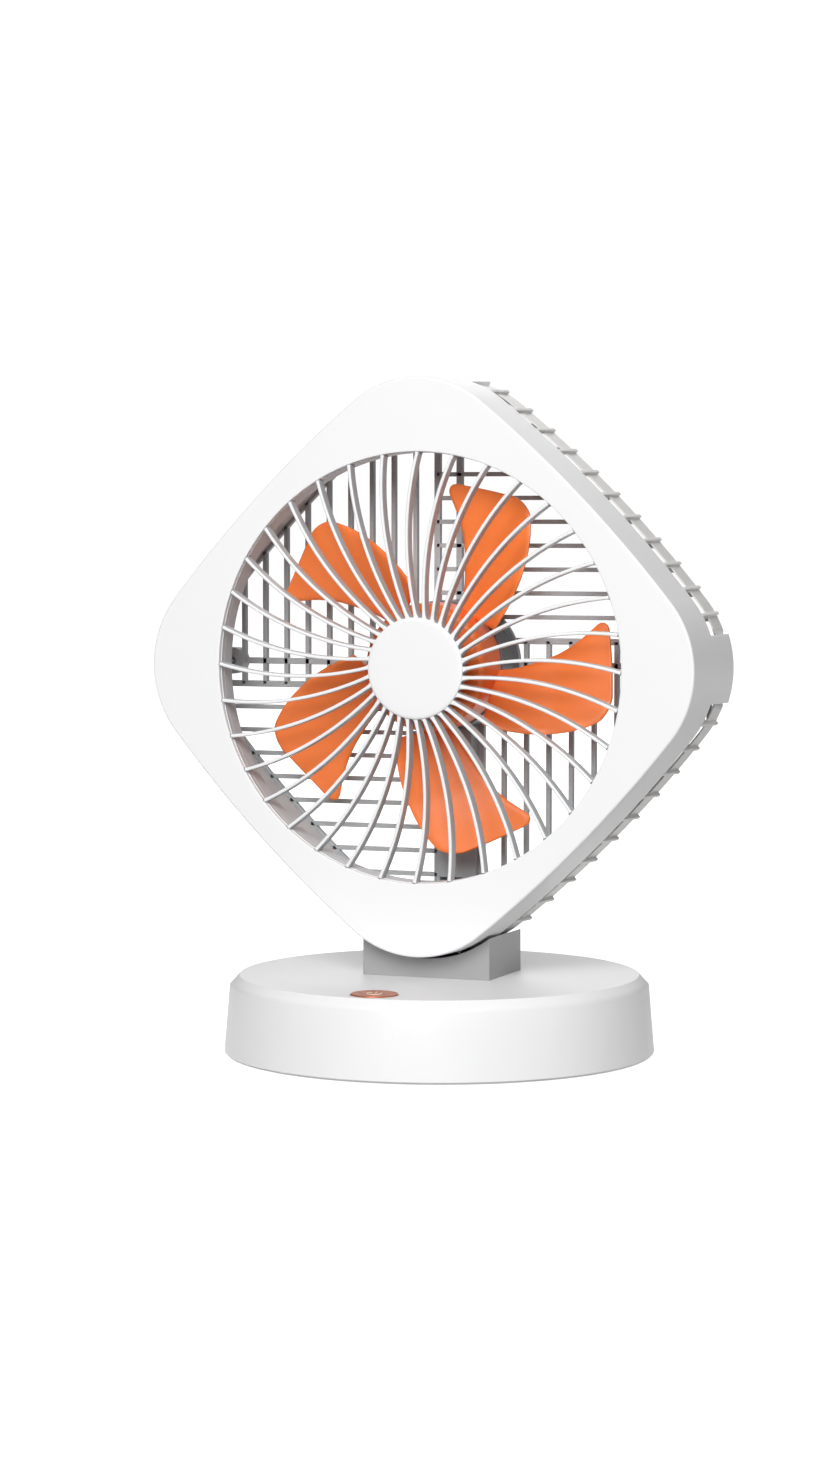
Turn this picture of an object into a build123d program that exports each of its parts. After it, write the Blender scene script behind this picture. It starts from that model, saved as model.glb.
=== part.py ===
"""Small desk fan: a diamond-shaped box head on a short square stem and a round base.

Millimetres. The origin is the centre of the base where it meets the table, +Z is up,
the fan blows towards -Y, and +X is to the right of someone facing it.
"""
import math
import os

from build123d import *

# ---------------------------------------------------------------- driving sizes
BASE_R = 78.0            # base radius near the table
BASE_SHOULDER_R = 76.0   # where the wall meets the chamfer
BASE_TOP_R = 72.4        # flat top of the base
BASE_SHOULDER_Z = 24.9
BASE_TOP_Z = 28.8
BASE_WALL = 2.2
FOOT_LIFT = 0.5          # rubber feet hold the shell this far off the table
FLOOR_T = 2.2            # bottom cover's thickness

STEM_W = 48.8
STEM_FRONT = -13.6
STEM_BACK = 19.5
STEM_WALL = 2.4
STEM_ROOF = 3.0

HEAD_Z = 140.3           # height of the rotor axis
HEAD_TIP = 104.6         # axis to the tip of the diamond
HEAD_CORNER_R = 40.0
HEAD_SIDE_R = 460.0      # the sides are very slightly bowed
HEAD_WALL = 2.0
FRONT = -23.7            # face of the bezel
BAND_BACK = 0.0          # rear edge of the front shell's side wall
DRAFT = 1.5              # the side wall draws in this much from its back to its face
BACK = 19.5              # rear edge of the corner blocks
HOLE_R = 76.65           # air opening in the bezel
CORNER_HALF = 12.4       # half width of the full-depth corner blocks

COLLAR_BACK = -12.6
SPOKES = 36
SPOKE_W = 1.3
SPOKE_DEPTH = 4.4
RING_BACK = FRONT + SPOKE_DEPTH
SPOKE_BOW = 3.5
BOSS_R = 17.3
CAP_R = 18.1
CAP_FRONT = -24.7
PEG_CIRCLE_R = 10.0      # the cap's three snap pegs

RAIL_INSET = 1.45
RAIL_EDGE_T = 0.5        # the rail is a wedge: thin in front, thick at the back
RAIL_T = 1.95
RAIL_FRONT = 7.6
LINK_FRONT = 12.5        # the rail runs on behind the corner blocks from here back
FIN_BACK = 18.0
FIN_INSET = 4.4          # inner ends of the fins, in front of the rail
FRAME_INSET = 2.6        # dark frame round the slats
FRAME_W = 1.9
SLAT_PITCH = 8.65
SLAT_COUNT = 11          # slats each side of the centre bar
SLAT_T = 1.65
SLAT_FRONT = 19.7
SLAT_BACK = 22.2
BAR_T = 2.3              # centre bar and its neighbour
FIN_PITCH = 11.2
FIN_HALF_COUNT = 5       # side fins each way from the middle of a side
FIN_T = 1.3

BLADES = 5
BLADE_ANGLE = -0.5       # direction of the first blade's centre line
BLADE_T = 1.3
BLADE_CAMBER = 1.2
HUB_R = 23.0
HUB_FRONT = -15.2
HUB_BACK = 2.0
HUB_WALL = 1.6
HUB_BOSS_R = 4.0

MOTOR_R = 23.6
MOTOR_WALL = 1.6
MOTOR_FRONT = 2.6
MOTOR_SEAM = 12.4
SEAM_GAP = 0.4
MOTOR_BACK = 19.6
SHAFT_R = 1.5
SHAFT_FIT = 0.04         # radial running clearance in the bushes
BUSH_R = 4.0
BUSH_W = 3.0
TEETH = 9
MOTOR_SCREW_R = 15.0     # circle of the three motor screws

DUCT_HALF = 7.6
DUCT_FRONT = 17.0
DUCT_NECK_FRONT = 12.5
DUCT_TOP = -22.5         # measured from the rotor axis
DUCT_NECK = -38.0
DUCT_FOOT_Z = 42.8
DUCT_MOUTH_Z = 62.0      # the front wall stops here so that the lead can leave
LEAD_R = 1.4
LEAD_HOLE_Y = 6.5

BUTTON_Y = -62.0
BUTTON_R = 8.25
BUTTON_HOLE_R = 8.5
BUTTON_PROUD = 0.5
BUTTON_FOOT_Z = 18.0     # the button's stem stands on the switch here
PORT_Z = 12.0            # height of the charging socket's centre
BOARD_Z = 12.0           # underside of the control board
BOARD_T = 1.6

NODES = {}


# ---------------------------------------------------------------- helpers
def head_plane(y):
    """Sketch plane across the head at depth y: local X to the right, local Y up."""
    return Plane(origin=(0, y, HEAD_Z), x_dir=(1, 0, 0), z_dir=(0, -1, 0))


def slab(sketch, y_front, y_back):
    """A flat shape of the head, given its thickness between two depths."""
    return extrude(head_plane(y_back) * sketch, y_back - y_front)


def ring(outer, inner):
    return Circle(outer) - Circle(inner)


def tube(outer, inner, y_front, y_back):
    return slab(ring(outer, inner), y_front, y_back)


def disc(radius, y_front, y_back):
    return slab(Circle(radius), y_front, y_back)


def around(sketch, radius, count, first=90.0):
    """Copies of a sketch on a circle about the rotor axis."""
    turns = [math.radians(first + 360 / count * k) for k in range(count)]
    return [Pos(radius * math.cos(a), radius * math.sin(a)) * sketch for a in turns]


def upright(x, y, z_low, z_high, radius):
    """A vertical round bar."""
    return Pos(x, y, (z_low + z_high) / 2) * Cylinder(radius, z_high - z_low)


def block(x_span, y_span, z_span):
    """A box between the given limits."""
    sizes = [high - low for low, high in (x_span, y_span, z_span)]
    middles = [(high + low) / 2 for low, high in (x_span, y_span, z_span)]
    return Pos(*middles) * Box(*sizes)


def screw(radius, length, head_r, head_h):
    """A pan-head screw along -Z under a head that sits on z = 0, with a cross slot."""
    body = Pos(0, 0, -length / 2) * Cylinder(radius, length)
    head = Pos(0, 0, head_h / 2) * Cylinder(head_r, head_h)
    head = fillet(head.edges().group_by(Axis.Z)[-1], head_h * 0.4)
    slots = Box(head_r, radius * 0.5, head_h) + Box(radius * 0.5, head_r, head_h)
    return body + head - Pos(0, 0, head_h) * slots


def group(shapes):
    """Several separate solids in one node."""
    return Compound(children=list(shapes))


def diamond(inset=0.0):
    """The head's outline: four round corners joined by slightly bowed sides."""
    centre = HEAD_TIP - HEAD_CORNER_R
    corner_r = HEAD_CORNER_R - inset
    side_r = HEAD_SIDE_R - inset
    reach = HEAD_SIDE_R - HEAD_CORNER_R
    half = centre * math.cos(math.pi / 4)
    offset = -half + math.sqrt(half**2 - centre**2 + reach**2)
    side_centre = -offset * math.cos(math.pi / 4)
    swing = math.atan2(-side_centre, centre - side_centre)
    tip = centre + corner_r
    ahead = Vector(centre + corner_r * math.cos(swing), corner_r * math.sin(swing))
    behind = Vector(ahead.X, -ahead.Y)
    middle = side_centre + side_r * math.cos(math.pi / 4)
    corner = ThreePointArc(behind, Vector(tip, 0), ahead)
    side = ThreePointArc(ahead, Vector(middle, middle), Vector(ahead.Y, ahead.X))
    arcs = [arc.rotate(Axis.Z, 90 * k) for k in range(4) for arc in (corner, side)]
    return make_face(Wire(arcs))


# ---------------------------------------------------------------- head: front shell
POSTS = [(0, 90), (-90, 0), (90, 0), (-15, -87), (15, -87)]     # seen from the axis
POST_R = 3.4
POST_BACK = 16.9
SCREW_R = 1.0
PILOT_R = 1.02
FOOT_SCREW_R = 1.4
STEM_SCREW_X = 8.0
STEM_BOSS_R = 3.0
TIP_Z = HEAD_Z - HEAD_TIP


def drafted(inset):
    """The head's outline as a full-depth block that draws in towards the face."""
    angle = math.degrees(math.atan2(DRAFT, BACK - FRONT))
    return extrude(head_plane(BACK) * diamond(inset), BACK - FRONT, taper=angle)


def corner_zones(room=0.0):
    """Four strips along the diamond's axes that hold the full-depth corners."""
    strip = Pos(95, 0) * Rectangle(40, 2 * (CORNER_HALF + room))
    return [Rot(0, 0, 90 * k) * strip for k in range(4)]


def front_shell():
    """Bezel and side wall in one moulding, with four corner blocks that run to the back."""
    everywhere = Rectangle(300, 300)
    room = drafted(HEAD_WALL) & slab(everywhere, FRONT + HEAD_WALL, BACK + 1)
    shell = drafted(0) - room - disc(HOLE_R, FRONT - 1, FRONT + HEAD_WALL + 1)
    outer_edge = [e for e in shell.edges().group_by(Axis.Y)[0] if e.length < 300]
    shell = fillet(outer_edge, 0.8)
    shell -= slab(everywhere - corner_zones(), BAND_BACK, BACK + 1)
    for x, z in POSTS:
        shell += slab(Pos(x, z) * Circle(POST_R), FRONT + HEAD_WALL - 0.5, POST_BACK)
        shell -= slab(Pos(x, z) * Circle(PILOT_R), 2, POST_BACK + 1)
    for x in (-STEM_SCREW_X, STEM_SCREW_X):
        shell += upright(x, 0, TIP_Z + 1.6, TIP_Z + 12, STEM_BOSS_R)
        shell -= upright(x, 0, TIP_Z - 1, TIP_Z + 10, PILOT_R)
    return shell - upright(0, LEAD_HOLE_Y, TIP_Z - 1, TIP_Z + 4, 2.6)


# ---------------------------------------------------------------- head: front grille
def spoke():
    """One spoke, bowed anticlockwise between the centre boss and the collar."""
    middle = Vector((BOSS_R + HOLE_R) / 2, SPOKE_BOW)
    path = ThreePointArc(Vector(BOSS_R, 0), middle, Vector(HOLE_R, -0.6))
    centre, radius = path.arc_center, path.radius
    bent = Pos(centre.X, centre.Y) * ring(radius + SPOKE_W / 2, radius - SPOKE_W / 2)
    return bent & (Pos(48, 0) * Rectangle(68, 20)) & ring(HOLE_R - 0.05, BOSS_R - 1)


def front_grille():
    """Outer ring, spokes and centre boss, moulded as one piece."""
    one = spoke()
    flat = Circle(BOSS_R) + [Rot(0, 0, 360 / SPOKES * k) * one for k in range(SPOKES)]
    grille = slab(flat, FRONT, RING_BACK)
    grille += tube(HOLE_R + 4.4, HOLE_R - 0.2, FRONT + HEAD_WALL + 0.05, RING_BACK)
    grille -= disc(BOSS_R - 1.6, FRONT + 2.4, FRONT + SPOKE_DEPTH + 1)
    for peg in around(Circle(1.5), PEG_CIRCLE_R, 3):
        grille -= slab(peg, FRONT - 1, FRONT + 3)
    return grille


def air_collar():
    """Smooth round duct behind the spokes, with a flange against the grille's ring."""
    front = RING_BACK + 0.05
    collar = tube(HOLE_R + 1.5, HOLE_R - 0.2, front, COLLAR_BACK)
    return collar + tube(HOLE_R + 4.4, HOLE_R + 1, front, front + 1.2)


def grille_cap():
    """Plain round cap that snaps on over the spokes' inner ends."""
    cap = disc(CAP_R, CAP_FRONT, FRONT - 0.03)
    cap = fillet(cap.edges().group_by(Axis.Y)[0], 0.7)
    for peg in around(Circle(1.4), PEG_CIRCLE_R, 3):
        cap += slab(peg, CAP_FRONT + 0.4, FRONT + 2.3)
    return cap


NODES["front_shell"] = front_shell()
NODES["front_grille"] = front_grille()
NODES["air_collar"] = air_collar()
NODES["grille_cap"] = grille_cap()


# ---------------------------------------------------------------- head: rear grille
def vent_ring():
    """White rail round the back of the head, with the fins that guard the side slots."""
    depth = BACK - RAIL_FRONT
    angle = math.degrees(math.atan2(RAIL_T - RAIL_EDGE_T, depth))
    inside = extrude(head_plane(BACK) * diamond(RAIL_INSET + RAIL_T), depth, taper=-angle)
    corners = Sketch() + corner_zones(0.1)
    rail = slab(diamond(RAIL_INSET) - corners, RAIL_FRONT, BACK) - inside
    band = diamond(HEAD_WALL + 0.55) - diamond(RAIL_INSET + RAIL_T)
    rail += slab(band & (Sketch() + corner_zones(0.9)), LINK_FRONT, BACK)
    flat = Sketch() + side_fins()
    fins = slab(flat & (diamond() - diamond(FIN_INSET)), BAND_BACK + 0.05, RAIL_FRONT)
    fins += slab(flat & (diamond() - diamond(RAIL_INSET + 0.4)), RAIL_FRONT - 1, FIN_BACK)
    return rail + (fins & drafted(0))


def slat_quadrant():
    """Upright slats of one quadrant: each starts one pitch past the axis and runs to the rim."""
    bars = []
    for k in range(SLAT_COUNT + 1):
        width = BAR_T if k < 2 else SLAT_T
        length = HEAD_TIP + SLAT_PITCH
        bars.append(Pos(-SLAT_PITCH * k, length / 2 - SLAT_PITCH) * Rectangle(width, length))
    return bars


def side_fins():
    """Fins across the air slots, square to the sides, from the side wall to the back."""
    fins = []
    for k in range(-FIN_HALF_COUNT, FIN_HALF_COUNT + 1):
        fin = Pos(85, FIN_PITCH * k) * Rectangle(30, FIN_T)
        fins += [Rot(0, 0, 45 + 90 * quarter) * fin for quarter in range(4)]
    return fins


def rear_grille():
    """Pinwheel of slats in a thin frame with the motor's plate, moulded as one piece."""
    frame = diamond(FRAME_INSET) - diamond(FRAME_INSET + FRAME_W)
    duct_room = Pos(0, -70) * Rectangle(2 * DUCT_HALF + 0.2, 100)
    pinwheel = [Rot(0, 0, 90 * k) * bar for k in range(4) for bar in slat_quadrant()]
    left_bar = Pos(-SLAT_PITCH, -55) * Rectangle(BAR_T, 110)
    slats = Sketch() + pinwheel + left_bar - duct_room + Circle(MOTOR_R)
    slats -= Pos(0, -MOTOR_R) * Rectangle(5, 16)
    grille = slab((slats & diamond(FRAME_INSET)) + frame, SLAT_FRONT, SLAT_BACK)
    for x, z in POSTS:
        grille += slab(Pos(x, z) * Circle(POST_R + 1.6), POST_BACK + 0.1, SLAT_BACK)
        grille -= slab(Pos(x, z) * Circle(1.35), POST_BACK - 1, SLAT_BACK + 1)
        grille -= slab(Pos(x, z) * Circle(2.5), SLAT_BACK - 1.8, SLAT_BACK + 1)
    for hole in around(Circle(1.35), MOTOR_SCREW_R, 3):
        grille -= slab(hole, SLAT_FRONT - 1, SLAT_BACK + 1)
    for hole in around(Circle(2.5), MOTOR_SCREW_R, 3):
        grille -= slab(hole, SLAT_BACK - 1.5, SLAT_BACK + 1)
    return grille


def motor_duct():
    """Closed channel behind the slats that carries the motor lead down to the stem."""
    top = DUCT_TOP
    foot = DUCT_FOOT_Z - HEAD_Z
    panel = Pos(0, (top + foot) / 2) * Rectangle(2 * DUCT_HALF, top - foot)
    neck = Pos(0, (top + DUCT_NECK) / 2) * Rectangle(2 * DUCT_HALF, top - DUCT_NECK)
    duct = slab(panel, DUCT_FRONT, SLAT_BACK) + slab(neck, DUCT_NECK_FRONT, SLAT_BACK)
    bore = Pos(0, (top + foot) / 2 + 1.5) * Rectangle(2 * DUCT_HALF - 2.4, top - foot)
    room = Pos(0, (top + DUCT_NECK) / 2 + 1.2) * Rectangle(2 * DUCT_HALF - 2.4, top - DUCT_NECK)
    duct -= slab(bore, DUCT_FRONT + 0.9, SLAT_BACK - 0.9)
    duct -= slab(room, DUCT_NECK_FRONT + 0.8, SLAT_BACK - 0.9)
    mouth = block((-DUCT_HALF + 1.2, DUCT_HALF - 1.2), (DUCT_FRONT - 1, DUCT_FRONT + 2),
                  (DUCT_FOOT_Z - 1, DUCT_MOUTH_Z))
    duct -= mouth
    return duct - disc(MOTOR_R + 0.1, 0, SLAT_BACK + 1)


def head_screws():
    """Five screws that hold the rear grille to the front shell's posts."""
    one = screw(SCREW_R, 10, 2.2, 1.3)
    seats = [head_plane(SLAT_BACK - 1.8) * Pos(x, z) * Rot(180, 0, 0) for x, z in POSTS]
    return group(seat * one for seat in seats)


NODES["vent_ring"] = vent_ring()
NODES["rear_grille"] = rear_grille()
NODES["motor_lead_duct"] = motor_duct()
NODES["rear_grille_screws"] = head_screws()


# ---------------------------------------------------------------- rotor
def blade_section(reach, trailing, leading):
    """Curved strip across a blade at one distance from the axis.

    trailing and leading are (tangential place, depth); the strip runs past both by a margin.
    """
    (t0, y0), (t1, y1) = trailing, leading
    margin = 6.0 / math.hypot(t1 - t0, y1 - y0)
    ends = [(t0 - (t1 - t0) * margin, y0 - (y1 - y0) * margin),
            (t1 + (t1 - t0) * margin, y1 + (y1 - y0) * margin)]
    middle = ((ends[0][0] + ends[1][0]) / 2, (ends[0][1] + ends[1][1]) / 2 + BLADE_CAMBER)
    half = BLADE_T / 2
    front = [Vector(t, -(y - half)) for t, y in (ends[0], middle, ends[1])]
    rear = [Vector(t, -(y + half)) for t, y in (ends[1], middle, ends[0])]
    outline = Wire([ThreePointArc(*front), Line(front[2], rear[0]),
                    ThreePointArc(*rear), Line(rear[2], front[0])])
    plane = Plane(origin=(reach, 0, HEAD_Z), x_dir=(0, 0, 1), z_dir=(1, 0, 0))
    return plane * make_face(outline)


def blade_outline():
    """The blade seen from the front: a scimitar whose tip leans into the turn."""
    leading = Spline([(18, -1.5), (31, 0.2), (44, 4.7), (52, 9.4), (58.6, 15)])
    nose = ThreePointArc((58.6, 15), (62.2, 16.8), (64.4, 13.4))
    tip = ThreePointArc((64.4, 13.4), (66.1, 1.5), (67.3, -9.5))
    heel = ThreePointArc((67.3, -9.5), (66.0, -14.4), (62.8, -18.2))
    trailing = Spline([(62.8, -18.2), (57, -20.6), (50, -22.2), (41, -22.9),
                       (32, -22.2), (24, -20.6), (14, -17.8)])
    root = Line((14, -17.8), (18, -1.5))
    return make_face(Wire([leading, nose, tip, heel, trailing, root]))


def impeller():
    """Hub cup with its five blades, moulded as one piece."""
    sheet = loft([
        blade_section(12, (-18.0, -12.6), (-2.0, 0.3)),
        blade_section(30, (-22.0, -11.4), (0.1, 0.6)),
        blade_section(46, (-22.6, -9.4), (5.6, 0.7)),
        blade_section(58, (-20.2, -7.9), (14.4, 0.7)),
        blade_section(72, (-17.0, -6.6), (17.0, 0.7)),
    ])
    blade = sheet & slab(blade_outline(), -20, 8)
    blade -= disc(HUB_R - 1.0, -30, 20)
    spin = Axis((0, 0, HEAD_Z), (0, -1, 0))
    hub = disc(HUB_R, HUB_FRONT, HUB_BACK)
    hub = fillet(hub.edges().group_by(Axis.Y)[0], 2.3)
    for k in range(BLADES):
        hub += blade.rotate(spin, BLADE_ANGLE + 360 / BLADES * k)
    hub -= disc(HUB_R - HUB_WALL, HUB_FRONT + HUB_WALL, HUB_BACK + 1)
    hub += disc(HUB_BOSS_R, HUB_FRONT + 1, -9.5)
    return hub - disc(SHAFT_R, HUB_FRONT + HUB_WALL, 0)


def rotor_yoke():
    """Steel cup inside the hub that closes the magnet's field."""
    outer = HUB_R - HUB_WALL - 0.1
    cup = disc(outer, HUB_FRONT + HUB_WALL + 0.1, HUB_BACK - 0.6)
    cup -= disc(outer - 1.0, HUB_FRONT + HUB_WALL + 1.0, HUB_BACK)
    return cup - disc(HUB_BOSS_R + 0.1, HUB_FRONT, 0)


def shaft_clip():
    """Open retaining ring in the shaft's groove, behind the rear bush."""
    clip = ring(3.2, SHAFT_R - 0.3) - Pos(0, -2.5) * Rectangle(1.8, 3.4)
    return slab(clip, 4.4, 4.9)


NODES["impeller"] = impeller()
NODES["rotor_yoke"] = rotor_yoke()
NODES["rotor_magnet"] = tube(HUB_R - HUB_WALL - 1.15, 18.2, -9.5, 1.0)
NODES["motor_shaft"] = disc(SHAFT_R, HUB_FRONT + HUB_WALL, 6.2) - slab(
    ring(SHAFT_R + 1, SHAFT_R - 0.3), 4.4, 4.9)
NODES["shaft_clip"] = shaft_clip()


# ---------------------------------------------------------------- motor, fixed side
TUBE_FRONT = -8.9
TUBE_R = 5.0
CORE_FRONT = -7.5
CORE_BACK = -1.5
BOARD_FRONT = 10.0       # motor board, depth
POST_HOLE_R = 2.9


def motor_base():
    """Round grey housing with the bearing tube and three screw posts."""
    base = disc(MOTOR_R, MOTOR_FRONT, MOTOR_SEAM)
    base -= disc(MOTOR_R - MOTOR_WALL, MOTOR_FRONT + 1.5, MOTOR_SEAM + 1)
    base += disc(TUBE_R, TUBE_FRONT, MOTOR_FRONT + 1.5)
    base -= disc(BUSH_R, TUBE_FRONT - 1, MOTOR_FRONT + 2)
    for post in around(Circle(2.6), MOTOR_SCREW_R, 3):
        base += slab(post, MOTOR_FRONT + 1, MOTOR_SEAM)
    for hole in around(Circle(PILOT_R), MOTOR_SCREW_R, 3):
        base -= slab(hole, MOTOR_FRONT + 2.5, MOTOR_SEAM + 1)
    for hole in around(Circle(1.0), 9.0, 3, first=30):
        base -= slab(hole, MOTOR_FRONT - 1, MOTOR_FRONT + 3)
    return base


def motor_cover():
    """Rear half of the motor housing: a spigot locates it, a notch lets the lead out."""
    front = MOTOR_SEAM + SEAM_GAP
    cover = disc(MOTOR_R, front, MOTOR_BACK)
    cover -= disc(MOTOR_R - MOTOR_WALL, front - 1, MOTOR_BACK - 1.4)
    inner = MOTOR_R - MOTOR_WALL - 0.1
    cover += tube(MOTOR_R - 0.5, inner - 1.2, front, front + 2)
    cover += tube(inner, inner - 1.2, MOTOR_SEAM - 0.9, front + 1)
    cover += slab(Sketch() + around(Circle(2.6), MOTOR_SCREW_R, 3), front, MOTOR_BACK - 1)
    for hole in around(Circle(1.35), MOTOR_SCREW_R, 3):
        cover -= slab(hole, front - 1, MOTOR_BACK + 1)
    return cover - slab(Pos(0, -MOTOR_R) * Rectangle(5, 9), 0, MOTOR_BACK + 1)


def stator_core():
    """Iron core with nine teeth, pressed on the bearing tube."""
    tooth = Pos(12, 0) * Rectangle(9, 3)
    shoe = ring(17.6, 15.2) & (Pos(16, 0) * Rectangle(8, 9))
    flat = ring(8.8, TUBE_R) + [Rot(0, 0, 360 / TEETH * k) * (tooth + shoe) for k in range(TEETH)]
    return slab(flat, CORE_FRONT, CORE_BACK)


def windings():
    """Nine copper coils, one around each tooth."""
    middle = (CORE_FRONT + CORE_BACK) / 2
    reach = (CORE_BACK - CORE_FRONT) / 2
    coil = Box(5.2, 2 * reach + 2.8, 5.6) - Box(6, 2 * reach + 0.1, 3.1)
    coil = Pos(12.2, middle, HEAD_Z) * coil
    spin = Axis((0, 0, HEAD_Z), (0, -1, 0))
    return group(coil.rotate(spin, 360 / TEETH * k) for k in range(TEETH))


def motor_board():
    """Ring-shaped drive board around the screw posts."""
    board = disc(20.0, BOARD_FRONT, BOARD_FRONT + 1.4)
    for hole in around(Circle(POST_HOLE_R), MOTOR_SCREW_R, 3):
        board -= slab(hole, BOARD_FRONT - 1, BOARD_FRONT + 3)
    chips = [Pos(-8, 4) * Rectangle(5, 4), Pos(7, 3) * Rectangle(3, 3), Pos(9, -5) * Rectangle(2, 4)]
    return board + slab(Sketch() + chips, BOARD_FRONT + 1.4, BOARD_FRONT + 2.5)


def motor_screws():
    """Three screws through the rear grille's centre into the motor base."""
    one = screw(SCREW_R, 14, 2.2, 1.3)
    places = around(Circle(1), MOTOR_SCREW_R, 3)
    seats = [head_plane(SLAT_BACK - 1.5) * Pos(p.center().X, p.center().Y) * Rot(180, 0, 0)
             for p in places]
    return group(seat * one for seat in seats)


NODES["motor_base"] = motor_base()
NODES["motor_cover"] = motor_cover()
NODES["front_bush"] = tube(BUSH_R, SHAFT_R + SHAFT_FIT, TUBE_FRONT + 0.2, TUBE_FRONT + 0.2 + BUSH_W)
NODES["rear_bush"] = tube(BUSH_R, SHAFT_R + SHAFT_FIT, 0.9, 0.9 + BUSH_W)
NODES["stator_core"] = stator_core()
NODES["stator_windings"] = windings()
NODES["motor_board"] = motor_board()
NODES["motor_screws"] = motor_screws()


# ---------------------------------------------------------------- stem
STEM_HALF = STEM_W / 2
STEM_FOOT_Z = BASE_TOP_Z + 0.05
FOOT_BOSS_R = 3.6
BOSS_MARGIN = STEM_WALL + FOOT_BOSS_R - 0.6      # the bosses grow out of the walls
FOOT_BOSSES = [(x, y) for x in (-STEM_HALF + BOSS_MARGIN, STEM_HALF - BOSS_MARGIN)
               for y in (STEM_FRONT + BOSS_MARGIN, STEM_BACK - BOSS_MARGIN)]


def stem():
    """Rectangular post whose roof is cut to the head's round lower corner."""
    inner_x = STEM_HALF - STEM_WALL
    inner_y = (STEM_FRONT + STEM_WALL, STEM_BACK - STEM_WALL)
    post = block((-STEM_HALF, STEM_HALF), (STEM_FRONT, STEM_BACK), (STEM_FOOT_Z, 47))
    post = fillet(post.edges().filter_by(Axis.Z), 0.5)
    room = block((-inner_x, inner_x), inner_y, (STEM_FOOT_Z - 1, 47))
    room -= slab(diamond(-0.05 - STEM_ROOF), FRONT - 5, SLAT_BACK + 5)
    for x, y in FOOT_BOSSES:
        room -= upright(x, y, STEM_FOOT_Z - 1, 47, FOOT_BOSS_R)
    post -= room
    post -= slab(diamond(-0.05), FRONT - 5, SLAT_BACK + 5)
    for x, y in FOOT_BOSSES:
        post -= upright(x, y, STEM_FOOT_Z - 1, STEM_FOOT_Z + 7, FOOT_SCREW_R + 0.02)
    for x in (-STEM_SCREW_X, STEM_SCREW_X):
        post -= upright(x, 0, 30, 40, 1.4)
        post -= upright(x, 0, 30, 33.2, 2.8)
    return post - upright(0, LEAD_HOLE_Y, 30, 40, 2.6)


def stem_head_screws():
    one = Rot(180, 0, 0) * screw(SCREW_R, 10, 2.4, 1.5)
    return group(Pos(x, 0, 33.2) * one for x in (-STEM_SCREW_X, STEM_SCREW_X))


def stem_foot_screws():
    one = Rot(180, 0, 0) * screw(FOOT_SCREW_R, 8.5, 2.8, 1.8)
    return group(Pos(x, y, BASE_TOP_Z - BASE_WALL) * one for x, y in FOOT_BOSSES)


NODES["stem"] = stem()
NODES["stem_head_screws"] = stem_head_screws()
NODES["stem_foot_screws"] = stem_foot_screws()


# ---------------------------------------------------------------- base
BASE_SCREWS = [(x, y) for x in (-59.8, 59.8) for y in (-27.9, 27.9)]
FEET = [(x, y) for x in (-43.8, 43.8) for y in (-43.8, 43.8)]
FOOT_R = 6.5
COVER_TOP = FOOT_LIFT + FLOOR_T
CELL_R = 9.2
CELL_LENGTH = 65.0
CELL_Z = 16.2
CELL_YS = (24.6, 43.6)
BALLAST_TOP = COVER_TOP + 2.5


def base_profile(wall):
    """Half section of the base's outside, drawn in by the wall thickness."""
    slope = (BASE_R - BASE_SHOULDER_R) / BASE_SHOULDER_Z
    low = FOOT_LIFT
    low_r = BASE_R - slope * low - wall
    points = [
        (0, low), (low_r - (0.8 if wall == 0 else 0), low),
        (low_r, low + (0.8 if wall == 0 else 0.1)),
        (BASE_SHOULDER_R - wall, BASE_SHOULDER_Z - wall * 0.5),
        (BASE_TOP_R - wall * 0.5, BASE_TOP_Z - wall), (0, BASE_TOP_Z - wall),
    ]
    return make_face(Plane.XZ * Polyline(*points, close=True))


def port_slot(width, height, y_near, y_far):
    """Round-ended bar along Y at the charging socket's place."""
    plane = Plane(origin=(0, y_far, PORT_Z), x_dir=(1, 0, 0), z_dir=(0, -1, 0))
    return extrude(plane * SlotOverall(width, height), y_far - y_near)


def base_shell():
    """Round top cover with the button's guide, screw posts and the charging slot."""
    shell = revolve(base_profile(0), Axis.Z)
    inside = revolve(base_profile(BASE_WALL), Axis.Z)
    inside += upright(0, 0, -1, FOOT_LIFT + 1, BASE_R - BASE_WALL - 0.2)
    for x, y in BASE_SCREWS:
        inside -= upright(x, y, COVER_TOP + 0.1, 30, 3.6)
    guide = upright(0, BUTTON_Y, 20, 30, 11.0) - upright(0, BUTTON_Y, 19, 30, 9.8)
    shell -= inside - guide
    shell -= upright(0, BUTTON_Y, 20, 30, BUTTON_HOLE_R)
    shell -= upright(0, LEAD_HOLE_Y, 20, 30, 3.0)
    for x, y in FOOT_BOSSES:
        shell -= upright(x, y, 20, 30, 1.6)
    for x, y in BASE_SCREWS:
        shell -= upright(x, y, 0, 14, PILOT_R)
    return shell - port_slot(9.4, 3.6, 70, 80)


def base_cover():
    """Flat bottom cover with recesses for the feet and counterbored screw holes."""
    cover = upright(0, 0, FOOT_LIFT, COVER_TOP, BASE_R - BASE_WALL - 0.4)
    for x, y in FEET:
        cover -= upright(x, y, 0, FOOT_LIFT + 1.0, FOOT_R + 0.1)
    for x, y in BASE_SCREWS:
        cover -= upright(x, y, 0, 5, 1.35)
        cover -= upright(x, y, 0, FOOT_LIFT + 1.2, 2.6)
    for x in (-16, 16):
        for y in (-36, -66):
            cover += upright(x, y, COVER_TOP - 0.5, BOARD_Z, 2.4)
    return cover


def rubber_feet():
    feet = [upright(x, y, 0, FOOT_LIFT + 1.0, FOOT_R) for x, y in FEET]
    return group(fillet(foot.edges().group_by(Axis.Z)[0], 0.4) for foot in feet)


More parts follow.
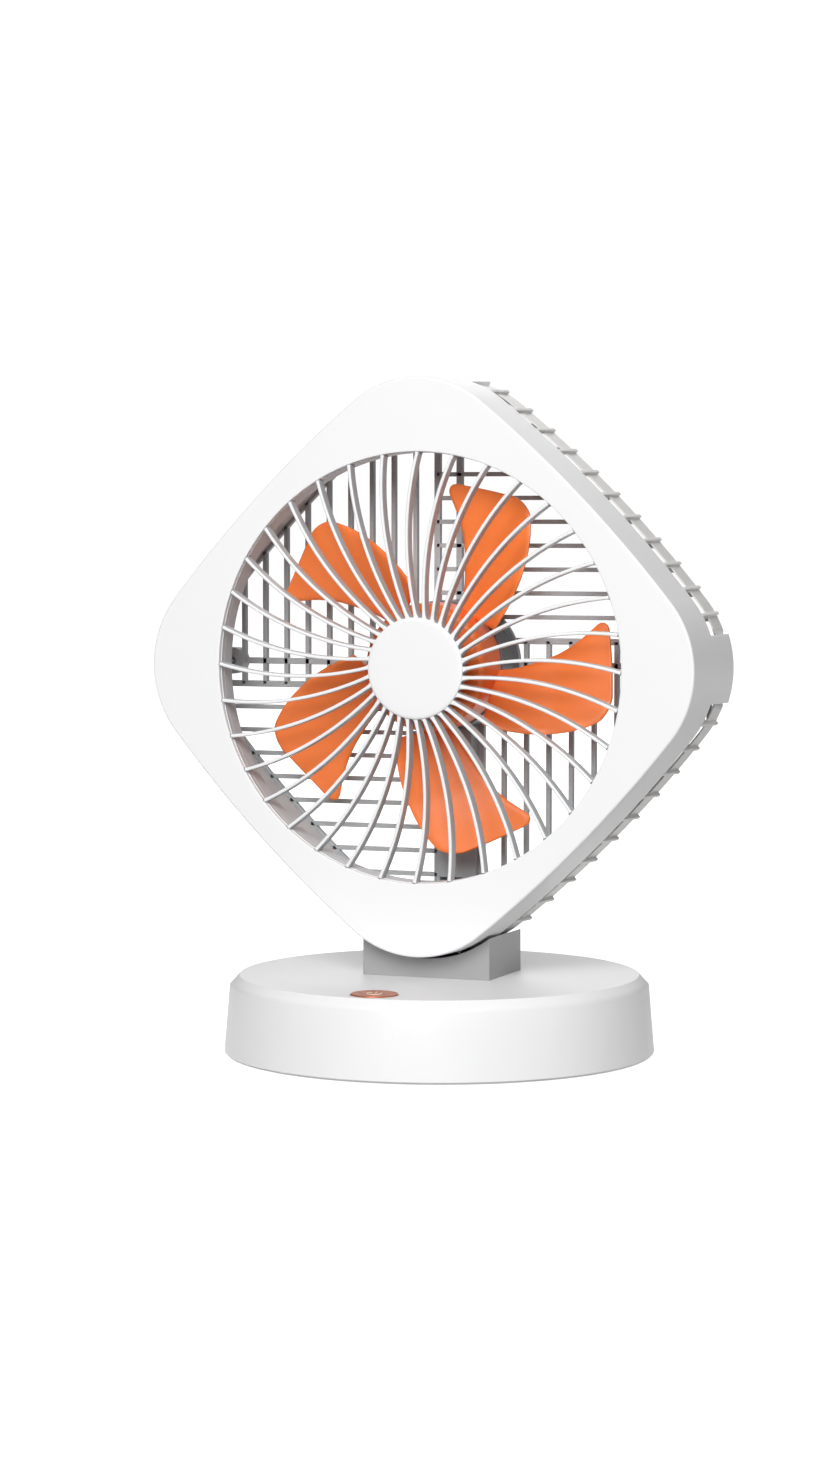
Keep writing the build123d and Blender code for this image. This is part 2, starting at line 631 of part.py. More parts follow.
def base_screws():
    one = Rot(180, 0, 0) * screw(SCREW_R, 8, 2.3, 1.1)
    return group(Pos(x, y, FOOT_LIFT + 1.2) * one for x, y in BASE_SCREWS)


def ballast():
    """Steel weight plate that keeps the light head from tipping the base."""
    plate = upright(0, 0, COVER_TOP + 0.05, BALLAST_TOP, 68)
    for x, y in BASE_SCREWS:
        plate -= upright(x, y, 0, 10, 4.4)
    return plate - block((-22, 22), (-72, -28), (0, 10))


def battery_holder():
    """Open plastic cradle for the two cells."""
    x_reach = CELL_LENGTH / 2 + 2.6
    y_low, y_high = CELL_YS[0] - CELL_R - 0.6, CELL_YS[1] + CELL_R + 0.6
    cradle = block((-x_reach, x_reach), (y_low, y_high), (BALLAST_TOP + 0.05, 17))
    for y in CELL_YS:
        cell = Pos(0, y, CELL_Z) * Rot(0, 90, 0) * Cylinder(CELL_R + 0.15, CELL_LENGTH + 1.2)
        cradle -= cell
    return cradle


def battery_cells():
    one = Rot(0, 90, 0) * Cylinder(CELL_R, CELL_LENGTH - 1.2)
    tip = Pos(CELL_LENGTH / 2 - 0.2, 0, 0) * Rot(0, 90, 0) * Cylinder(3.0, 0.8)
    return group(Pos(0, y, CELL_Z) * (one + tip) for y in CELL_YS)


def control_board():
    """Control board under the button, with its chips and the lead's solder tab."""
    z = BOARD_Z + BOARD_T
    board = block((-20, 20), (-69, -30), (BOARD_Z + 0.05, z))
    board += block((-15, -8), (-50, -43), (z, z + 1.2))
    board += block((8, 14), (-52, -46), (z, z + 2.0))
    return board + block((8, 12), (-40, -35), (z, z + 1.0))


def charging_board():
    """Small board that carries the charging socket."""
    board = block((-9, 9), (55.5, 74), (PORT_Z - 3.3, PORT_Z - 1.75))
    return board + block((-7, -2), (57, 62), (PORT_Z - 1.75, PORT_Z - 0.6))


def charging_port():
    """Reversible charging socket: thin metal shell around a central tongue."""
    port = port_slot(9.0, 3.2, 68.2, 75.6) - port_slot(8.4, 2.6, 69.0, 76.0)
    return port + block((-3.3, 3.3), (68.6, 74.4), (PORT_Z - 0.35, PORT_Z + 0.35))


def motor_lead():
    """Two-core lead from the motor board down the duct and stem to the control board."""
    points = [(0, 15.0, HEAD_Z - 17.3), (0, 15.0, HEAD_Z - 24), (0, 19.4, HEAD_Z - 34),
              (0, 19.4, 60), (0, LEAD_HOLE_Y, 42), (0, LEAD_HOLE_Y, 17), (0, -31.4, 17)]
    path = FilletPolyline(*points, radius=[14, 14, 14, 12, 12])
    start = Plane(origin=points[0], z_dir=(0, 0, -1))
    return sweep(start * Circle(LEAD_R), path)


def lead_plugs():
    """The lead's two plugs, on the motor board and on the control board."""
    z = BOARD_Z + BOARD_T
    upper = block((-3, 3), (BOARD_FRONT + 1.45, 16.8), (HEAD_Z - 17.25, HEAD_Z - 10.5))
    lower = block((-3, 3), (-38, -31.45), (z + 0.05, z + 5.4))
    return group([upper, lower])


NODES["base_shell"] = base_shell()
NODES["base_cover"] = base_cover()
NODES["rubber_feet"] = rubber_feet()
NODES["base_screws"] = base_screws()
NODES["ballast_plate"] = ballast()
NODES["battery_holder"] = battery_holder()
NODES["battery_cells"] = battery_cells()
NODES["control_board"] = control_board()
NODES["charging_board"] = charging_board()
NODES["charging_port"] = charging_port()
NODES["motor_lead"] = motor_lead()
NODES["lead_plugs"] = lead_plugs()


# ---------------------------------------------------------------- power button
FLANGE_TOP = BASE_TOP_Z - BASE_WALL - 0.1
SWITCH_TOP = BOARD_Z + BOARD_T + 3.5
PLUNGER_R = 1.75


def power_button():
    """Round push button with a retaining flange and a stem down to the switch."""
    top = BASE_TOP_Z + BUTTON_PROUD
    knob = upright(0, BUTTON_Y, FLANGE_TOP - 1.2, top, BUTTON_R)
    knob = fillet(knob.edges().group_by(Axis.Z)[-1], 0.45)
    knob += upright(0, BUTTON_Y, FLANGE_TOP - 1.2, FLANGE_TOP, 9.4)
    return knob + upright(0, BUTTON_Y, BUTTON_FOOT_Z, FLANGE_TOP - 1, 2.0)


def switch_body():
    """Tactile switch housing on the control board."""
    body = block((-3, 3), (BUTTON_Y - 3, BUTTON_Y + 3), (BOARD_Z + BOARD_T + 0.02, SWITCH_TOP))
    return body - upright(0, BUTTON_Y, BOARD_Z + BOARD_T + 1.0, 20, PLUNGER_R + 0.06)


NODES["power_button"] = power_button()
NODES["switch_body"] = switch_body()
NODES["switch_plunger"] = upright(0, BUTTON_Y, SWITCH_TOP - 1.3, BUTTON_FOOT_Z, PLUNGER_R)


# ---------------------------------------------------------------- write the parts
os.makedirs("parts", exist_ok=True)
for name, shape in NODES.items():
    export_step(shape, f"parts/{name}.step")
    print(name, len(shape.solids()), round(shape.volume))
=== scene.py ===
"""Looks for a small desk fan: a diamond-shaped box head on a short stem and a round base.

Everything is in metres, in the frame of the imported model: +Z up, the fan blows towards -Y.
"""
import math

import bmesh
import bpy
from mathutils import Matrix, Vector


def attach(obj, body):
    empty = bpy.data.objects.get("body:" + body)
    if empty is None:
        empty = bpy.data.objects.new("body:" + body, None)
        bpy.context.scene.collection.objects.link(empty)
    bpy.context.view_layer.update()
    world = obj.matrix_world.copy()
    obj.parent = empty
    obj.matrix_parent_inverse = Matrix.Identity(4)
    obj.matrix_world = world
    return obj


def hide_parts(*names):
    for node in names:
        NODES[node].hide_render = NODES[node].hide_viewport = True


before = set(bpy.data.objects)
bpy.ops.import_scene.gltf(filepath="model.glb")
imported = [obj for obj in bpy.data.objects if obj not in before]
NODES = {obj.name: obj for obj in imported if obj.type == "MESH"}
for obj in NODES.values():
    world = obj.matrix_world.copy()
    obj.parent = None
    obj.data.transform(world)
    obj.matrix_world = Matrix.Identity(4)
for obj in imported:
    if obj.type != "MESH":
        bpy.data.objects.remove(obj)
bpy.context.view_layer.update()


# ------------------------------------------------------------ bottom cover and ballast
# A flat moulded disc closes the base from below; a raw steel plate lies on it so that
# the light head cannot tip the fan.
MM = 0.001
WHITE = (0.83, 0.83, 0.835, 1)
STEEL = (0.42, 0.42, 0.43, 1)


def new_group(name, inputs, outputs):
    """An empty shader group with named sockets: (name, kind, default) each."""
    group = bpy.data.node_groups.new(name, "ShaderNodeTree")
    for label, kind, default in inputs:
        socket = group.interface.new_socket(label, in_out="INPUT", socket_type="NodeSocket" + kind)
        if default is not None:
            socket.default_value = default
    for label, kind in outputs:
        group.interface.new_socket(label, in_out="OUTPUT", socket_type="NodeSocket" + kind)
    return group, group.nodes.new("NodeGroupInput"), group.nodes.new("NodeGroupOutput")


def noise(tree, place, scale, detail=2.0):
    node = tree.nodes.new("ShaderNodeTexNoise")
    node.inputs["Detail"].default_value = detail
    tree.links.new(place, node.inputs["Vector"])
    if isinstance(scale, (int, float)):
        node.inputs["Scale"].default_value = scale
    else:
        tree.links.new(scale, node.inputs["Scale"])
    return node.outputs["Fac"]


def sums(tree, kind, first, second, third=None):
    """One math node; each value is a socket or a number."""
    node = tree.nodes.new("ShaderNodeMath")
    node.operation = kind
    for socket, value in zip(node.inputs, (first, second, third)):
        if isinstance(value, (int, float)):
            socket.default_value = value
        elif value is not None:
            tree.links.new(value, socket)
    return node.outputs[0]


def moulding_group():
    """Spark-eroded mould texture: fine grain, a slow drift of tone and of gloss."""
    group, given, result = new_group(
        "moulding_grain",
        [("Place", "Vector", None), ("Colour", "Color", WHITE), ("Drift", "Float", 0.04),
         ("Grain Per Metre", "Float", 2600.0), ("Roughness", "Float", 0.45)],
        [("Colour", "Color"), ("Roughness", "Float"), ("Height", "Float")])
    value = given.outputs
    slow = noise(group, value["Place"], 22.0)
    fine = noise(group, value["Place"], value["Grain Per Metre"], 3.0)
    swing = sums(group, "MULTIPLY", sums(group, "SUBTRACT", slow, 0.5), value["Drift"])
    speck = sums(group, "MULTIPLY", sums(group, "SUBTRACT", fine, 0.5),
                 sums(group, "MULTIPLY", value["Drift"], 0.6))
    tone = sums(group, "ADD", sums(group, "ADD", 1.0, swing), speck)
    shaded = group.nodes.new("ShaderNodeVectorMath")
    shaded.operation = "SCALE"
    group.links.new(value["Colour"], shaded.inputs[0])
    group.links.new(tone, shaded.inputs["Scale"])
    rough = sums(group, "ADD", value["Roughness"],
                 sums(group, "MULTIPLY", sums(group, "SUBTRACT", slow, 0.5), 0.12))
    group.links.new(shaded.outputs[0], result.inputs["Colour"])
    group.links.new(rough, result.inputs["Roughness"])
    group.links.new(fine, result.inputs["Height"])
    return group


def tool_mark_group():
    """Metal that was rolled, drawn or ground: streaks along one direction."""
    group, given, result = new_group(
        "tool_marks",
        [("Place", "Vector", None), ("Colour", "Color", STEEL), ("Streak", "Vector", (1, 1, 1)),
         ("Marks Per Metre", "Float", 900.0), ("Roughness", "Float", 0.35),
         ("Drift", "Float", 0.25)],
        [("Colour", "Color"), ("Roughness", "Float"), ("Height", "Float")])
    value = given.outputs
    drawn = group.nodes.new("ShaderNodeVectorMath")
    drawn.operation = "MULTIPLY"
    group.links.new(value["Place"], drawn.inputs[0])
    group.links.new(value["Streak"], drawn.inputs[1])
    streaks = noise(group, drawn.outputs[0], value["Marks Per Metre"], 4.0)
    clouds = noise(group, value["Place"], 60.0, 3.0)
    tone = sums(group, "ADD", 1.0, sums(group, "MULTIPLY", value["Drift"],
                sums(group, "SUBTRACT", sums(group, "ADD", streaks, clouds), 1.0)))
    shaded = group.nodes.new("ShaderNodeVectorMath")
    shaded.operation = "SCALE"
    group.links.new(value["Colour"], shaded.inputs[0])
    group.links.new(tone, shaded.inputs["Scale"])
    rough = sums(group, "MULTIPLY_ADD", sums(group, "SUBTRACT", streaks, 0.5), 0.3,
                 value["Roughness"])
    group.links.new(shaded.outputs[0], result.inputs["Colour"])
    group.links.new(rough, result.inputs["Roughness"])
    group.links.new(streaks, result.inputs["Height"])
    return group


MOULDING = moulding_group()
TOOL_MARKS = tool_mark_group()


def finish(name, group, settings, bump=0.05, depth=0.1, metallic=0.0, coat=0.0, specular=0.5):
    """A Principled material fed by one of the surface groups on object coordinates."""
    material = bpy.data.materials.new(name)
    material.use_nodes = True
    tree = material.node_tree
    shader = tree.nodes["Principled BSDF"]
    place = tree.nodes.new("ShaderNodeTexCoord")
    surface = tree.nodes.new("ShaderNodeGroup")
    surface.node_tree = group
    for label, value in settings.items():
        surface.inputs[label].default_value = value
    relief = tree.nodes.new("ShaderNodeBump")
    relief.inputs["Strength"].default_value = bump
    relief.inputs["Distance"].default_value = depth * MM
    tree.links.new(place.outputs["Object"], surface.inputs["Place"])
    tree.links.new(surface.outputs["Colour"], shader.inputs["Base Color"])
    tree.links.new(surface.outputs["Roughness"], shader.inputs["Roughness"])
    tree.links.new(surface.outputs["Height"], relief.inputs["Height"])
    tree.links.new(relief.outputs["Normal"], shader.inputs["Normal"])
    shader.inputs["Metallic"].default_value = metallic
    shader.inputs["Coat Weight"].default_value = coat
    shader.inputs["Coat Roughness"].default_value = 0.2
    shader.inputs["Specular IOR Level"].default_value = specular
    return material


def dress(material, *names):
    """Gives CAD nodes whose shape is right their finish."""
    for name in names:
        for holder in NODES[name].material_slots:
            holder.material = material


def show(piece, material, slot_name, body, *replaced):
    """Finishes a piece, hangs it on the body it rides on and hides the CAD nodes it stands for."""
    piece.data.materials.clear()
    piece.data.materials.append(material)
    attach(piece, body)
    if replaced:
        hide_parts(*replaced)
    return piece


def shaped(name, mesh_data, ease=0.0, ease_angle=40, segments=2):
    """Links a mesh as an object with its sharp edges eased and its flats kept flat."""
    piece = bpy.data.objects.new(name, mesh_data)
    bpy.context.scene.collection.objects.link(piece)
    for face in mesh_data.polygons:
        face.use_smooth = True
    if ease:
        bevel = piece.modifiers.new("eased_edges", "BEVEL")
        bevel.width = ease * MM
        bevel.segments = segments
        bevel.limit_method = "ANGLE"
        bevel.angle_limit = math.radians(ease_angle)
        bevel.miter_outer = "MITER_ARC"
    flats = piece.modifiers.new("flat_faces", "WEIGHTED_NORMAL")
    flats.keep_sharp = True
    flats.weight = 80
    return piece


def eased_copy(name, node, ease, segments=2):
    """A CAD node's shape with its doubled points merged and its sharp edges eased."""
    bm = bmesh.new()
    bm.from_mesh(NODES[node].data)
    bmesh.ops.remove_doubles(bm, verts=bm.verts, dist=0.002 * MM)
    bmesh.ops.dissolve_limit(bm, angle_limit=math.radians(0.5), verts=bm.verts, edges=bm.edges)
    mesh_data = bpy.data.meshes.new(name)
    bm.to_mesh(mesh_data)
    bm.free()
    return shaped(name, mesh_data, ease, segments=segments)


white = finish("white_satin_moulding", MOULDING, {"Colour": WHITE, "Drift": 0.03,
               "Roughness": 0.42}, bump=0.06)
ballast = finish("mill_steel", TOOL_MARKS, {"Colour": (0.16, 0.16, 0.17, 1), "Roughness": 0.55,
                 "Streak": (1, 0.05, 1), "Drift": 0.5}, metallic=1.0, bump=0.2)
show(eased_copy("bottom_cover", "base_cover", 0.25), white, "white_plastic", "housing",
     "base_cover")
dress(ballast, "ballast_plate")


# ------------------------------------------------------------ copies of one original
# Screws, feet, spokes, fins, slats and blades are all one shape made many times, so each
# original is modelled once and set at its places.
def copying_tree():
    tree = bpy.data.node_groups.new("copies_at_places", "GeometryNodeTree")
    for label, kind in (("Places", "Geometry"), ("Original", "Object"), ("Finish", "Material"),
                        ("Overall Size", "Float")):
        tree.interface.new_socket(label, in_out="INPUT", socket_type="NodeSocket" + kind)
    tree.interface.new_socket("Copies", in_out="OUTPUT", socket_type="NodeSocketGeometry")
    given, result = tree.nodes.new("NodeGroupInput"), tree.nodes.new("NodeGroupOutput")
    original = tree.nodes.new("GeometryNodeObjectInfo")
    onto = tree.nodes.new("GeometryNodeInstanceOnPoints")
    whole = tree.nodes.new("GeometryNodeRealizeInstances")
    dressed = tree.nodes.new("GeometryNodeSetMaterial")
    stretch = tree.nodes.new("ShaderNodeVectorMath")
    stretch.operation = "SCALE"
    for label, socket in (("turn", onto.inputs["Rotation"]), ("stretch", stretch.inputs[0])):
        read = tree.nodes.new("GeometryNodeInputNamedAttribute")
        read.data_type = "FLOAT_VECTOR"
        read.inputs["Name"].default_value = label
        tree.links.new(read.outputs["Attribute"], socket)
    link = tree.links.new
    link(given.outputs["Overall Size"], stretch.inputs["Scale"])
    link(given.outputs["Places"], onto.inputs["Points"])
    link(given.outputs["Original"], original.inputs["Object"])
    link(original.outputs["Geometry"], onto.inputs["Instance"])
    link(stretch.outputs[0], onto.inputs["Scale"])
    link(onto.outputs["Instances"], whole.inputs["Geometry"])
    link(whole.outputs["Geometry"], dressed.inputs["Geometry"])
    link(given.outputs["Finish"], dressed.inputs["Material"])
    link(dressed.outputs["Geometry"], result.inputs["Copies"])
    return tree


COPYING = copying_tree()


def copies(name, original, places, material):
    """One piece from an original and its places: (point, turn, stretch) each."""
    mesh_data = bpy.data.meshes.new(name)
    mesh_data.from_pydata([place[0] for place in places], [], [])
    for label, column in (("turn", 1), ("stretch", 2)):
        layer = mesh_data.attributes.new(label, "FLOAT_VECTOR", "POINT")
        for item, place in zip(layer.data, places):
            item.vector = place[column]
    piece = bpy.data.objects.new(name, mesh_data)
    bpy.context.scene.collection.objects.link(piece)
    work = piece.modifiers.new("copies", "NODES")
    work.node_group = COPYING
    values = {"Original": original, "Finish": material, "Overall Size": 1.0}
    for socket in COPYING.interface.items_tree:
        if socket.name in values:
            work[socket.identifier] = values[socket.name]
    piece.data = bpy.data.meshes.new_from_object(
        piece.evaluated_get(bpy.context.evaluated_depsgraph_get()))
    piece.modifiers.remove(work)
    bpy.data.objects.remove(original)
    flats = piece.modifiers.new("flat_faces", "WEIGHTED_NORMAL")
    flats.keep_sharp = True
    flats.weight = 80
    return piece


def place(point, turn=(0, 0, 0), stretch=(1, 1, 1)):
    return (tuple(value * MM for value in point), turn, stretch)


def eased_corners(corners, steps=4):
    """A polygon of (across, along, radius) corners with each corner turned into an arc."""
    points = []
    for index, (across, along, radius) in enumerate(corners):
        here = Vector((across, along))
        if not radius:
            points.append(here)
            continue
        back = (Vector(corners[index - 1][:2]) - here).normalized()
        ahead = (Vector(corners[(index + 1) % len(corners)][:2]) - here).normalized()
        half = back.angle(ahead) / 2
        centre = here + (back + ahead).normalized() * (radius / math.sin(half))
        first = here + back * (radius / math.tan(half)) - centre
        last = here + ahead * (radius / math.tan(half)) - centre
        sweep = first.angle_signed(last)
        for step in range(steps + 1):
            angle = -sweep * step / steps
            points.append(centre + Vector((
                first.x * math.cos(angle) - first.y * math.sin(angle),
                first.x * math.sin(angle) + first.y * math.cos(angle))))
    return points


def turned(name, profile, centre=(0, 0, 0), upright=True, steps=96):
    """A closed profile of (radius, along) points in mm, turned round an upright or level axis."""
    verts, rings = [], []
    for radius, along in profile:
        ring = []
        for step in range(steps if radius > 1e-6 else 1):
            angle = math.tau * step / steps
            u, v = radius * math.cos(angle), radius * math.sin(angle)
            spot = (u, v, along) if upright else (u, along, v)
            ring.append(len(verts))
            verts.append([(c + s) * MM for c, s in zip(centre, spot)])
        rings.append(ring)
    faces = []
    for ring, after in zip(rings, rings[1:] + rings[:1]):
        if len(ring) == 1 and len(after) == 1:
            continue
        for step in range(steps):
            ahead = (step + 1) % steps
            corners = [ring[step % len(ring)], ring[ahead % len(ring)],
                       after[ahead % len(after)], after[step % len(after)]]
            faces.append(list(dict.fromkeys(corners)))
    return outward(name, verts, faces)


def outward(name, verts, faces):
    """A mesh from points and faces, with its faces turned outwards."""
    mesh_data = bpy.data.meshes.new(name)
    mesh_data.from_pydata(verts, [], faces)
    bm = bmesh.new()
    bm.from_mesh(mesh_data)
    bmesh.ops.remove_doubles(bm, verts=bm.verts, dist=0.001 * MM)
    bmesh.ops.recalc_face_normals(bm, faces=bm.faces)
    bm.to_mesh(mesh_data)
    bm.free()
    return mesh_data


# ------------------------------------------------------------ rubber feet
# Four soft moulded pads glued into recesses of the bottom cover; a shallow dish in each
# lets it grip the table.
FOOT_PLACES = [(x, y, 0) for x in (-43.8, 43.8) for y in (-43.8, 43.8)]
rubber = finish("black_rubber", MOULDING, {"Colour": (0.022, 0.022, 0.023, 1), "Drift": 0.3,
                "Roughness": 0.75, "Grain Per Metre": 1800.0}, bump=0.25, specular=0.3)
foot_profile = eased_corners([(0, 0.25, 0), (3.2, 0.25, 0.3), (3.6, 0.0, 0.3), (6.5, 0, 0.4),
                              (6.5, 1.5, 0.15), (0, 1.5, 0)])
foot = shaped("foot", turned("foot", foot_profile, steps=40))
show(copies("rubber_pads", foot, [place(p) for p in FOOT_PLACES], rubber), rubber, "rubber",
     "housing", "rubber_feet")


# ------------------------------------------------------------ base screws
# Small zinc-plated pan heads with a cross recess, sunk into the bottom cover.
def screw_head(radius, height, stem_radius, stem_length):
    """A pan-head screw on z = 0 with its head upwards and a real cross recess."""
    corners = [(0, height, 0), (radius, height, height * 0.45), (radius, 0, 0),
               (stem_radius, 0, 0), (stem_radius, -stem_length, 0.3), (0, -stem_length, 0)]
    piece = shaped("screw", turned("screw", eased_corners(corners), steps=32))
    wide, narrow = radius * 0.62, radius * 0.17
    outline = [(narrow, wide), (narrow, narrow), (wide, narrow)]
    star = [(x * math.cos(a) - y * math.sin(a), x * math.sin(a) + y * math.cos(a))
            for a in (0, -math.pi / 2, -math.pi, -1.5 * math.pi) for x, y in outline]
    verts = [(x * MM, y * MM, z * MM) for z in (height * 0.35, height + 1) for x, y in star]
    count = len(star)
    faces = [list(range(count)), list(range(count, 2 * count))]
    faces += [[i, (i + 1) % count, count + (i + 1) % count, count + i] for i in range(count)]
    cutter = bpy.data.objects.new("recess", outward("recess", verts, faces))
    bpy.context.scene.collection.objects.link(cutter)
    cut = piece.modifiers.new("recess", "BOOLEAN")
    cut.object = cutter
    made = bpy.data.meshes.new_from_object(
        piece.evaluated_get(bpy.context.evaluated_depsgraph_get()))
    bpy.data.objects.remove(cutter)
    bpy.data.objects.remove(piece)
    made.set_sharp_from_angle(angle=math.radians(35))
    return bpy.data.objects.new("screw", made)


def screws(name, places, radius, height, stem_radius, stem_length, node):
    original = screw_head(radius, height, stem_radius, stem_length)
    bpy.context.scene.collection.objects.link(original)
    return show(copies(name, original, places, zinc), zinc, "screw_steel", "housing", node)


zinc = finish("zinc_plate", TOOL_MARKS, {"Colour": (0.56, 0.57, 0.6, 1), "Roughness": 0.3,
              "Marks Per Metre": 1500.0, "Drift": 0.2}, metallic=1.0, bump=0.1)
DOWN, TO_BACK = (math.pi, 0, 0), (-math.pi / 2, 0, 0)
BASE_SCREW_PLACES = [(x, y, 1.7) for x in (-59.8, 59.8) for y in (-27.9, 27.9)]
screws("bottom_cover_screws", [place(p, DOWN) for p in BASE_SCREW_PLACES], 2.3, 1.1, 1.0, 8,
       "base_screws")


# ------------------------------------------------------------ cells and boards in the base
# Two shrink-wrapped cells lie in an open cradle; the control board and the small charging
# board are green glass-fibre with tinned pads.
def board_finish():
    """Solder mask over copper tracks: the tracks show as a paler, raised net."""
    material = finish("solder_mask", MOULDING, {"Colour": (0.012, 0.1, 0.04, 1), "Drift": 0.2,
                      "Roughness": 0.3}, coat=0.4)
    tree = material.node_tree
    shader = tree.nodes["Principled BSDF"]
    bricks = tree.nodes.new("ShaderNodeTexBrick")
    bricks.inputs["Scale"].default_value = 260.0
    bricks.inputs["Mortar Size"].default_value = 0.06
    bricks.inputs["Color1"].default_value = (0.012, 0.1, 0.04, 1)
    bricks.inputs["Color2"].default_value = (0.016, 0.13, 0.05, 1)
    bricks.inputs["Mortar"].default_value = (0.1, 0.32, 0.1, 1)
    tree.links.new(tree.nodes["Texture Coordinate"].outputs["Object"], bricks.inputs["Vector"])
    tree.links.new(bricks.outputs["Color"], shader.inputs["Base Color"])
    return material


def wrap_finish():
    """Printed shrink wrap: blue with a pale band near each end."""
    material = finish("shrink_wrap", MOULDING, {"Colour": (0.02, 0.09, 0.28, 1), "Drift": 0.15,
                      "Roughness": 0.25}, coat=0.5)
    tree = material.node_tree
    split = tree.nodes.new("ShaderNodeSeparateXYZ")
    tree.links.new(tree.nodes["Texture Coordinate"].outputs["Object"], split.inputs[0])
    far = sums(tree, "ABSOLUTE", split.outputs["X"], 0)
    band = sums(tree, "COMPARE", far, 0.027, 0.0015)
    mix = tree.nodes.new("ShaderNodeMix")
    mix.data_type = "RGBA"
    colour = [s for s in mix.inputs if s.type == "RGBA"]
    tree.links.new(band, mix.inputs["Factor"])
    surface = next(n for n in tree.nodes if n.bl_idname == "ShaderNodeGroup")
    tree.links.new(surface.outputs["Colour"], colour[0])
    colour[1].default_value = (0.7, 0.72, 0.75, 1)
    result = next(s for s in mix.outputs if s.type == "RGBA")
    tree.links.new(result, tree.nodes["Principled BSDF"].inputs["Base Color"])
    return material


mask, wrap = board_finish(), wrap_finish()
black = finish("black_moulding", MOULDING, {"Colour": (0.03, 0.03, 0.032, 1), "Drift": 0.15,
               "Roughness": 0.5}, bump=0.12)
nylon = finish("natural_nylon", MOULDING, {"Colour": (0.62, 0.6, 0.52, 1), "Drift": 0.08,
               "Roughness": 0.4})
jacket = finish("lead_jacket", MOULDING, {"Colour": (0.03, 0.03, 0.03, 1), "Drift": 0.2,
                "Roughness": 0.38, "Grain Per Metre": 3500.0}, bump=0.1)
drawn = finish("drawn_steel", TOOL_MARKS, {"Colour": (0.55, 0.56, 0.58, 1), "Roughness": 0.28,
               "Streak": (0.08, 1, 0.08)}, metallic=1.0, bump=0.1)
dress(mask, "control_board", "charging_board", "motor_board")
dress(wrap, "battery_cells")
dress(black, "battery_holder", "switch_body", "switch_plunger")
dress(nylon, "lead_plugs")
dress(jacket, "motor_lead")
dress(drawn, "charging_port")


# ------------------------------------------------------------ base shell
# One round moulding: a nearly upright wall, a soft chamfered shoulder and a flat top with
# the button's hole; the charging slot is cut low at the back.
show(eased_copy("base_top_shell", "base_shell", 0.5, segments=3), white, "white_plastic",
     "housing", "base_shell")


# ------------------------------------------------------------ power button
# A round push button in metallised copper-orange with a fine turned face and a raised
# power sign; it moves down with the switch's plunger.
BUTTON_Y, BUTTON_TOP, BUTTON_R = -62.0, 29.3, 8.25
SIGN_Z = BUTTON_TOP - 0.02


def turned_face_finish():
    """Metallised face with fine circular turning marks about its own centre."""
    material = finish("copper_button", MOULDING, {"Colour": (0.56, 0.2, 0.105, 1), "Drift": 0.1,
                      "Roughness": 0.34}, metallic=0.75, bump=0.2, depth=0.05)
    tree = material.node_tree
    centred = tree.nodes.new("ShaderNodeMapping")
    centred.inputs["Location"].default_value = (0, -BUTTON_Y * MM, 0)
    rings = tree.nodes.new("ShaderNodeTexWave")
    rings.wave_type, rings.rings_direction = "RINGS", "Z"
    rings.inputs["Scale"].default_value = 900.0
    rings.inputs["Distortion"].default_value = 0.6
    tree.links.new(tree.nodes["Texture Coordinate"].outputs["Object"], centred.inputs["Vector"])
    tree.links.new(centred.outputs["Vector"], rings.inputs["Vector"])
    tree.links.new(rings.outputs["Fac"], tree.nodes["Bump"].inputs["Height"])
    return material


copper = turned_face_finish()
button_profile = eased_corners([
    (0, BUTTON_TOP - 0.12, 0), (7.2, BUTTON_TOP - 0.12, 0.1), (7.5, BUTTON_TOP, 0.1),
    (BUTTON_R, BUTTON_TOP, 0.3), (BUTTON_R, 26.5, 0.2), (9.4, 26.5, 0.2), (9.4, 25.3, 0.2),
    (2.0, 25.3, 0.3), (2.0, 18.0, 0.3), (0, 18.0, 0)])
button = shaped("push_button", turned("push_button", button_profile, (0, BUTTON_Y, 0)))
show(button, copper, "copper_button", "button", "power_button")


def power_sign():
    """An open ring and a short bar, raised a little above the button's face."""
    verts, faces = [], []

    def strip(points, half):
        start = len(verts)
        for index, (x, y) in enumerate(points):
            before, after = points[max(index - 1, 0)], points[min(index + 1, len(points) - 1)]
            along = Vector((after[0] - before[0], after[1] - before[1])).normalized()
            for side, height in ((-1, -0.2), (-0.75, 0.1), (0.75, 0.1), (1, -0.2)):
                verts.append(((x - along.y * half * side) * MM, (y + along.x * half * side
                              + BUTTON_Y) * MM, (SIGN_Z + height) * MM))
        for index in range(len(points) - 1):
            a, b = start + 4 * index, start + 4 * index + 4
            faces.extend([[a + i, a + (i + 1) % 4, b + (i + 1) % 4, b + i] for i in range(4)])
        end = start + 4 * (len(points) - 1)
        faces.extend([[start, start + 1, start + 2, start + 3], [end, end + 1, end + 2, end + 3]])

    gap = math.radians(38)
    turns = [math.pi / 2 + gap + (math.tau - 2 * gap) * k / 40 for k in range(41)]
    strip([(2.6 * math.cos(a), 2.6 * math.sin(a)) for a in turns], 0.26)
    strip([(0, 0.6), (0, 3.2)], 0.26)
    return outward("power_sign", verts, faces)


sign_paint = finish("sign_paint", MOULDING, {"Colour": (0.8, 0.62, 0.5, 1), "Roughness": 0.4})
show(shaped("power_sign", power_sign()), sign_paint, "copper_button", "button")


